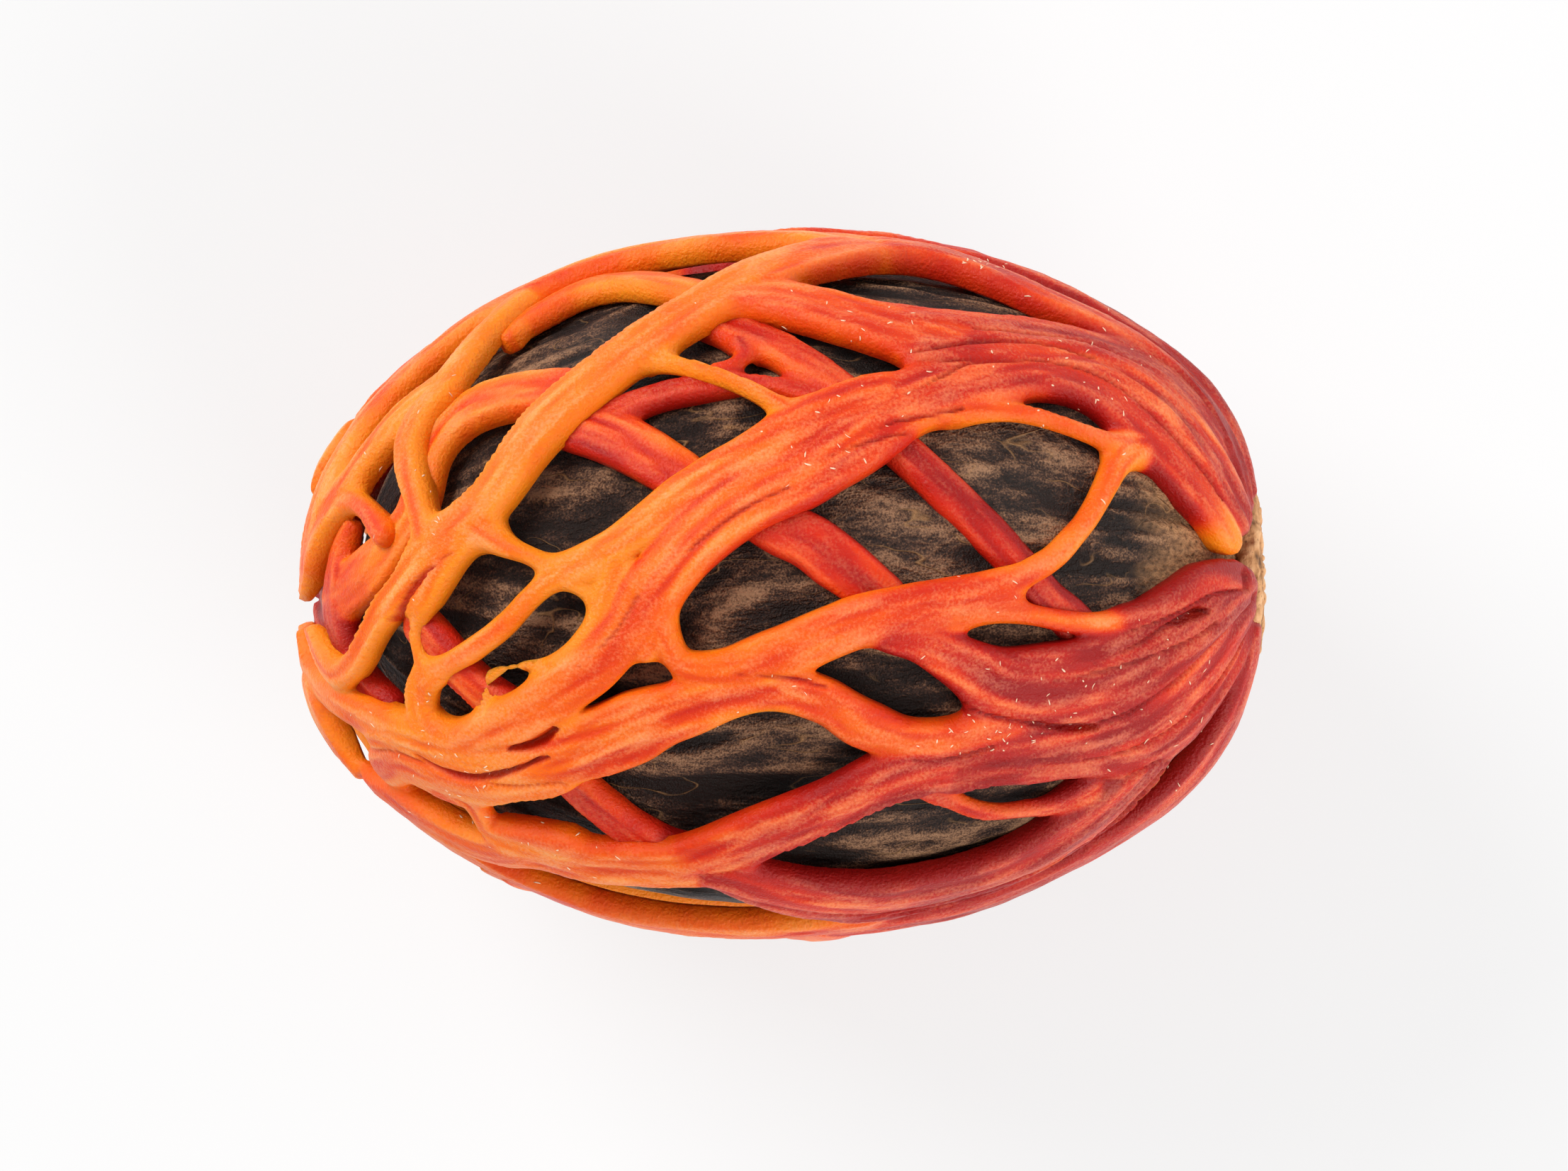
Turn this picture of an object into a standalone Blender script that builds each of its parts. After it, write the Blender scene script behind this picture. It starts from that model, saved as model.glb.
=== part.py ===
"""A whole nutmeg in its shell, wrapped in its net of mace and lying on its side.

The seed is a turned, slightly lopsided egg shape with a corky scar stub at +X. The mace is one
net: every strand is a closed sausage that follows its own route over an egg-shaped skin, and the
strands are melted together into a single body. Angles are in degrees, sizes in millimetres.
"""
import math

import bmesh
import bpy
import numpy as np

MM = 0.001

# Driving sizes of the skin that the outer strands reach, centred on the origin of the egg
SKIN_LONG = 16.4
SKIN_ROUND = 12.05
OUTER_DEPTH = 0.0
OUTER_THICK = 0.9
INNER_DEPTH = 0.5
INNER_THICK = 0.78
THINNEST = 0.75
NARROWEST = 0.95

# The seed, and the scar where it was joined to its fruit
SEED_DEPTH = 1.68
SEED_TIP_SHORT = 0.45
SCAR_REACH = 16.0
SCAR_RADIUS = 2.0
GRAIN_DEPTH = 0.09

# A flat spot on the underside
FOOT_CUT = 0.4
CENTRE_Z = SKIN_ROUND - FOOT_CUT

# The tip end reaches further than the scar end, so the egg's centre is this far from the origin
CENTRE_X = 0.18

# Melting
VOXEL = 0.28
NET_TRIANGLES = 8000
SEGMENTS = 8
RING_STEP = 0.6

# The underside repeats the upper side's strands, turned by this angle about X
TURN_BELOW = 168.0

CENTRE = np.array([CENTRE_X, 0.0, CENTRE_Z])

OUTER = "outer"
INNER = "inner"

# Each strand: its layer, then its route as (latitude, angle round X, width). Latitude -90 is the
# tip end at -X and +90 the scar end at +X; angle 0 is straight up and +90 is +Y.
STRANDS = {
    "rim_top": (OUTER, [(-88, 0, .6), (-79, 38, 1.2), (-66, 58, 1.5), (-50, 74, 1.4), (-32, 81, 1.2),
                        (-8, 80, 1.2), (12, 74, 1.6)]),
    "fork": (OUTER, [(-34, 74, 1.0), (-40, 60, 1.2), (-46, 52, 1.3)]),
    "drop": (OUTER, [(-45, 54, 1.1), (-49, 42, 1.2), (-48.5, 27, 1.05), (-47, 13, .7)]),
    "left_edge": (OUTER, [(-45, 54, 1.2), (-56, 50, 1.3), (-66, 43, 1.2), (-76, 37, 1.0)]),
    "arch": (OUTER, [(-76, 42, .7), (-67, 43, .8), (-59, 32, .8), (-55, 18, 1.1)]),
    "inner_left": (INNER, [(-73, -16, 1.0), (-72, 3, 1.4), (-62, 8, 1.8), (-53, 21, 1.6), (-45, 43, 1.6),
                           (-36, 46, 1.9), (-26, 43, 1.6)]),
    "long_diagonal": (OUTER, [(-47, 9, 1.6), (-36, 21, 1.6), (-25, 37, 1.8), (-10, 52, 1.8), (0, 63, 1.9),
                              (10, 72, 1.8)]),
    "hook": (OUTER, [(-80, -8, .6), (-73, -30, 1.0), (-68, -32, 1.1), (-60, -14, 1.0), (-51, 3, 1.3),
                     (-46, 10, 1.5)]),
    "mid_strut": (OUTER, [(-49, -25, .85), (-47, -18, .8), (-36, -7, .8), (-24, 5, .9)]),
    "mid_link": (OUTER, [(-38, 13, 1.2), (-31, 7, .7), (-24, 5, .9)]),
    "upper_band": (OUTER, [(-26, 4, 1.0), (-18, 9.5, 1.3), (-10, 17, 1.5), (0, 24, 2.0), (12, 31, 2.4)]),
    "main_band": (OUTER, [(-50, -37, 1.2), (-43, -36, 1.4), (-32, -24, 1.8), (-22, -13, 2.1), (-16, -1.5, 2.0),
                          (-8, 10, 2.1), (2, 18, 2.3), (12, 27, 2.3)]),
    "fat_band": (OUTER, [(-57, -44, 1.6), (-46, -38.5, 2.0), (-35, -35.5, 2.1), (-20, -25.5, 2.5),
                         (-10, -19.5, 1.8), (4, -18.5, 1.1)]),
    "hole_rim": (OUTER, [(-47, -19, .8), (-49.7, -27, .8), (-45, -36, 1.0)]),
    "left_body": (OUTER, [(-55.5, -57, 1.8), (-46, -46.5, 2.0), (-36, -42, 1.4), (-28, -37, 1.0)]),
    "neck": (OUTER, [(-46, -50, 1.2), (-40, -54, .8), (-28, -57, 2.0)]),
    "low_band": (OUTER, [(-35, -60, 1.6), (-20, -56, 2.1), (-5, -46, 2.1), (10, -35.5, 2.0), (25, -34.5, 1.7),
                         (36, -37, 2.0)]),
    "low_loop": (OUTER, [(-59, -78, .8), (-48, -84, 1.7), (-30, -84, 1.5), (-10, -80, 1.7), (8, -76, 1.8)]),
    "low_rim": (OUTER, [(-59, -76, .7), (-48, -70, 1.8), (-38, -66, 1.7), (-30, -58, 1.2)]),
    "left_tip": (OUTER, [(-83, -60, .7), (-72, -76, 1.2), (-61, -80, .7)]),
    "left_side": (OUTER, [(-86, -90, .8), (-74, -58, 1.1), (-61, -43, 1.3), (-53, -41, 1.6)]),
    "ring_band": (OUTER, [(-17, 0, 1.2), (-14, -8.5, .9), (-11, -13, 1.1), (-2, -11.5, 1.7), (13, -5, 1.7),
                          (26, -2.5, 1.5)]),
    "loop": (OUTER, [(22, -2.5, 1.0), (33, 3.5, .85), (39, 12, .8), (42.5, 22, .85), (46.5, 31.5, 1.2)]),
    "pale_strut": (OUTER, [(20, -6, .9), (35, -9, .7), (48, -10.5, .75), (59, -4, 1.0)]),
    "link_strut": (OUTER, [(0, -17, 1.2), (9, -24, 1.7), (28, -26, 1.3)]),
    "fan_1": (OUTER, [(12, -9, 1.0), (19, -13, 1.6), (32, -22, 3.2), (48, -21, 3.4), (64, -12, 2.4),
                      (70, -8, 1.8)]),
    "fan_2": (OUTER, [(20, -34, 1.8), (44, -37, 2.6), (60, -31, 2.8), (70, -23, 1.8)]),
    "fan_3": (OUTER, [(30, -37, 1.4), (46, -46, 2.2), (62, -42, 2.0), (71, -36, 1.2)]),
    "fan_4": (OUTER, [(44, -11, 1.0), (54, -7.5, 1.5), (64, -5, 1.8), (71, -10, 1.1)]),
    "bow": (OUTER, [(17, -39.5, .8), (25, -47.5, .7), (37.5, -50.5, 1.2)]),
    "low_right": (OUTER, [(-12, -53, 1.3), (3, -63, 2.6), (16, -67, 2.9), (30, -65, 2.8), (42, -57, 2.3),
                          (50, -50, 1.8)]),
    "right_rim": (OUTER, [(6, -79, 1.6), (22, -81, 2.2), (38, -80, 2.2), (54, -77, 2.2), (67, -66, 2.0),
                          (73, -50, 1.3)]),
    "top_rim": (OUTER, [(6, 70, 1.4), (20, 76, 1.6), (36, 71, 1.5), (62, 64, 1.4)]),
    "back_rim": (OUTER, [(16, 88, 1.2), (36, 90, 1.8), (56, 86, 1.8), (70, 72, 1.2)]),
    "cross_band": (OUTER, [(-5, 55, 1.2), (5, 51.7, 2.1), (20, 46, 2.6)]),
    "lobe_1": (OUTER, [(14, 49, 1.6), (32, 54.5, 1.5), (50, 62, 1.9), (62, 55, 1.7)]),
    "lobe_2": (OUTER, [(18, 44, 2.0), (40, 51, 2.4), (56, 44, 2.8), (69, 28, 1.8)]),
    "lobe_3": (OUTER, [(12, 29, 2.2), (25, 38.5, 2.2), (40, 44, 1.7), (53, 33.5, 1.9), (66, 15, .9)]),
    "thin_upper": (OUTER, [(-14, 42, .75), (-6, 36.6, .7), (1, 30, .8)]),
    "thin_right": (OUTER, [(21, 31, .8), (36, 32.3, .7), (50, 36, 1.2)]),
    "red_top": (INNER, [(-35, 68, 1.1), (-24, 77, 1.3), (-10, 62, 1.3)]),
    "red_long": (INNER, [(-9, 53, 1.2), (3, 41, 1.4), (15, 24, 1.4), (29, 3.5, 1.4), (40, -14, 1.6)]),
    "red_bow": (INNER, [(-25, 32, .9), (-14, 37, 1.0), (4, 34, .8)]),
    "red_upper": (INNER, [(-28, 34.7, 1.5), (-20, 28.2, 1.9), (-12, 19.7, 1.8)]),
    "red_mid": (INNER, [(-3, 11.5, 1.6), (6, 4.2, 1.9), (12, -3, 1.8)]),
    "red_low": (INNER, [(-27, -39.5, 1.5), (-20, -48.5, 1.5), (-12, -52.5, 1.2)]),
    "red_left": (INNER, [(-50.5, -8, 1.5), (-43, -19, 1.5), (-36, -25, 1.5)]),
}

# Strands that only the underside has: a band along the lowest line and three links to the sides
BELOW = {
    "foot_band": (OUTER, [(-16, 168, 1.6), (-6, 172, 2.0), (4, 170, 2.0), (14, 164, 1.6)]),
    "side_link_1": (OUTER, [(-38, -85, 1.4), (-33, -98, 1.3), (-27, -112, 1.4)]),
    "side_link_2": (OUTER, [(0, -79, 1.7), (6, -96, 1.5), (12, -112, 1.7)]),
    "side_link_3": (OUTER, [(34, -81, 2.0), (38, -95, 1.8), (40, -108, 1.8)]),
}


def swell(point):
    """How far the net stands out of the egg at the sides of its two ends, in mm."""
    lat = math.degrees(math.asin(max(-1.0, min(1.0, point[0] / SKIN_LONG))))
    girth = math.hypot(point[1], point[2]) + 1e-9
    side = abs(point[1] / girth) ** 3
    return side * (0.4 * math.exp(-((lat - 58) / 16) ** 2) + 0.25 * math.exp(-((lat + 68) / 13) ** 2))


def skin_point(lat, angle, depth):
    """A point on the egg's skin, sunk by depth."""
    t = math.radians(lat)
    a = math.radians(angle)
    girth = (SKIN_ROUND - depth) * math.cos(t)
    return np.array([(SKIN_LONG - depth) * math.sin(t), girth * math.sin(a), girth * math.cos(a)])


def on_skin(point, depth):
    """The point pushed straight out or in until it lies on the skin sunk by depth, and the normal."""
    axes = np.array([SKIN_LONG - depth, SKIN_ROUND - depth, SKIN_ROUND - depth])
    point = point / np.linalg.norm(point / axes)
    normal = point / axes ** 2
    return point, normal / np.linalg.norm(normal)


def route_points(route, depth):
    """The route as evenly spaced stations on the skin, each a point with its width."""
    knots = np.array([[*skin_point(lat, angle, depth), width] for lat, angle, width in route])
    knots = np.vstack([2 * knots[0] - knots[1], knots, 2 * knots[-1] - knots[-2]])
    fine = []
    for p0, p1, p2, p3 in zip(knots, knots[1:], knots[2:], knots[3:]):
        for u in np.linspace(0, 1, 12, endpoint=False):
            fine.append(0.5 * (2 * p1 + (p2 - p0) * u + (2 * p0 - 5 * p1 + 4 * p2 - p3) * u ** 2
                               + (3 * p1 - p0 - 3 * p2 + p3) * u ** 3))
    fine.append(knots[-2])
    fine = np.array([[*on_skin(row[:3], depth)[0], row[3]] for row in fine])
    run = np.concatenate([[0], np.cumsum(np.linalg.norm(np.diff(fine[:, :3], axis=0), axis=1))])
    rings = max(6, round(run[-1] / RING_STEP))
    stations = np.linspace(0, run[-1], rings + 1)
    return stations, np.array([np.interp(stations, run, fine[:, k]) for k in range(4)]).T


def add_strand(bm, layer, route):
    """One closed sausage along a route, flat like a strap and round at both ends."""
    depth, thick = (OUTER_DEPTH, OUTER_THICK) if layer == OUTER else (INNER_DEPTH, INNER_THICK)
    middle = depth + thick / 2
    stations, line = route_points(route, middle)
    rings = len(stations) - 1
    ball = bmesh.ops.create_uvsphere(bm, u_segments=SEGMENTS, v_segments=rings, radius=1.0)
    ahead = np.gradient(line[:, :3], axis=0)
    for vert in ball["verts"]:
        ring = round(math.acos(max(-1.0, min(1.0, vert.co.z))) / math.pi * rings)
        turn = math.atan2(vert.co.y, vert.co.x)
        centre, width = line[ring, :3], max(NARROWEST, line[ring, 3])
        tall = max(THINNEST, min(thick, 0.75 * width + 0.1))
        from_end = min(stations[ring], stations[-1] - stations[ring])
        full = math.sqrt(max(0.0, 1 - max(0.0, 1 - 2 * from_end / width) ** 2))
        _, normal = on_skin(centre, middle)
        side = np.cross(normal, ahead[ring] / np.linalg.norm(ahead[ring]))
        across = math.copysign(abs(math.cos(turn)) ** 0.8, math.cos(turn)) * full * width / 2
        up = math.copysign(abs(math.sin(turn)) ** 0.8, math.sin(turn)) * full * tall / 2
        if ring in (0, rings):
            across = up = 0.0
        foot, normal = on_skin(centre + side * across, middle)
        up += (thick - tall) / 2 if layer == OUTER else 0.0
        vert.co = (foot + normal * (up + swell(foot)) + CENTRE) * MM


def turned(route):
    """The route on the underside."""
    return [(lat, angle + TURN_BELOW, width) for lat, angle, width in route]


def make_material(name, colour, roughness):
    material = bpy.data.materials.new(name)
    material.use_nodes = True
    shader = material.node_tree.nodes["Principled BSDF"]
    shader.inputs["Base Color"].default_value = (*colour, 1.0)
    shader.inputs["Roughness"].default_value = roughness
    shader.inputs["Metallic"].default_value = 0.0
    return material


def add_object(name, bm, material, collection):
    mesh = bpy.data.meshes.new(name)
    bm.to_mesh(mesh)
    bm.free()
    mesh.shade_smooth()
    mesh.materials.append(material)
    obj = bpy.data.objects.new(name, mesh)
    collection.objects.link(obj)
    return obj


def make_mace(collection):
    """The net: all strands, melted together, thinned out and cut flat underneath."""
    bm = bmesh.new()
    for layer, route in STRANDS.values():
        add_strand(bm, layer, route)
        add_strand(bm, layer, turned(route))
    for layer, route in BELOW.values():
        add_strand(bm, layer, route)
    net = add_object("mace", bm, make_material("mace", (0.63, 0.16, 0.03), 0.5), collection)
    melt = net.modifiers.new("melt", "REMESH")
    melt.mode = "VOXEL"
    melt.voxel_size = VOXEL * MM
    melt.use_smooth_shade = True
    soften = net.modifiers.new("soften", "SMOOTH")
    soften.factor = 0.5
    soften.iterations = 2
    bpy.context.view_layer.update()
    melted = net.evaluated_get(bpy.context.evaluated_depsgraph_get()).data
    melted.calc_loop_triangles()
    thin = net.modifiers.new("thin_out", "DECIMATE")
    thin.ratio = NET_TRIANGLES / len(melted.loop_triangles)
    return net


def cut_foot(net, cutters):
    """Cuts the net's lowest strands flat at z = 0, so that it rests without rocking."""
    bm = bmesh.new()
    bmesh.ops.create_cube(bm, size=1.0)
    bmesh.ops.scale(bm, vec=(0.03, 0.03, 0.004), verts=bm.verts)
    bmesh.ops.translate(bm, vec=(0, 0, -0.002), verts=bm.verts)
    block = add_object("foot_cutter", bm, net.data.materials[0], cutters)
    block.hide_render = True
    block.display_type = "WIRE"
    flat = net.modifiers.new("flat_foot", "BOOLEAN")
    flat.operation = "DIFFERENCE"
    flat.object = block


def make_seed(collection):
    """The nut in its woody shell: an egg with shallow grain, and the scar stub at +X."""
    bm = bmesh.new()
    bmesh.ops.create_uvsphere(bm, u_segments=32, v_segments=26, radius=1.0)
    long_r = SKIN_LONG - SEED_DEPTH
    round_r = SKIN_ROUND - SEED_DEPTH
    for vert in bm.verts:
        along, y, z = vert.co.z, vert.co.x, vert.co.y
        angle = math.atan2(y, z)
        girth = math.hypot(y, z)
        grain = GRAIN_DEPTH * girth * math.sin(9 * angle + 3 * along) * math.cos(4 * angle - 5 * along)
        radius = round_r * girth + grain - GRAIN_DEPTH
        x = along * (long_r if along > 0 else long_r - SEED_TIP_SHORT)
        if along > 0.98:
            x = SCAR_REACH
            radius = SCAR_RADIUS * min(1.0, girth / 0.1)
        vert.co = (x, radius * math.sin(angle), radius * math.cos(angle))
    bmesh.ops.translate(bm, vec=CENTRE, verts=bm.verts)
    bmesh.ops.scale(bm, vec=(MM, MM, MM), verts=bm.verts)
    return add_object("seed", bm, make_material("shell", (0.045, 0.022, 0.012), 0.6), collection)


def main():
    for old in list(bpy.data.objects):
        bpy.data.objects.remove(old, do_unlink=True)
    nutmeg = bpy.data.collections.new("nutmeg_with_mace")
    cutters = bpy.data.collections.new("cutters")
    bpy.context.scene.collection.children.link(nutmeg)
    bpy.context.scene.collection.children.link(cutters)
    make_seed(nutmeg)
    net = make_mace(nutmeg)
    cut_foot(net, cutters)


main()
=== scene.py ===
"""The looks of a whole nutmeg in its net of mace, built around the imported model.

Each layer of the net starts as a fine egg-shaped skin. Every strand marks the skin around its own
route, the marks run together with rounded corners, the skin is cut along the edge of the mark, and
what is left gets its rounded edges, folds, wrinkles and inner side. Angles are in degrees and
lengths in millimetres, apart from the finished meshes, which are in metres.
"""
import math

import bmesh
import bpy
import numpy as np
from mathutils import Matrix, Vector
from mathutils.bvhtree import BVHTree


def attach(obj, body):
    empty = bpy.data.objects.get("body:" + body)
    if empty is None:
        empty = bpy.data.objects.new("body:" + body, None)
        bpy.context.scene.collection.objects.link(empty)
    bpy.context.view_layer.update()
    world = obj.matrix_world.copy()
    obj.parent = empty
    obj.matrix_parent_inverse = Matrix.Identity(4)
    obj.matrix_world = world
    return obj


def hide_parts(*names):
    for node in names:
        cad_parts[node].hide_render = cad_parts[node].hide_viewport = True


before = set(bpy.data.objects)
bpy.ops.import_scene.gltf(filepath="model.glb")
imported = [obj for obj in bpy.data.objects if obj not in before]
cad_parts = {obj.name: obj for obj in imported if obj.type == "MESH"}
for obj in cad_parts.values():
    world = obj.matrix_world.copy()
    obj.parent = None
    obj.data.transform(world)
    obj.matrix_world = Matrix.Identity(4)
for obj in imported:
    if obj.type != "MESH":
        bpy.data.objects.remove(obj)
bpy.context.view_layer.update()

bl_info = {
    "name": "Nutmeg with mace",
    "version": (1, 0, 0),
    "blender": (4, 5, 0),
    "location": "3D View > Sidebar > Nutmeg",
    "description": "Builds the net of mace, the woody shell and the corky scar of a whole nutmeg",
    "category": "Object",
}

MM = 0.001
FOOT_CUT = 0.4
CENTRE_X = 0.18

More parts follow.
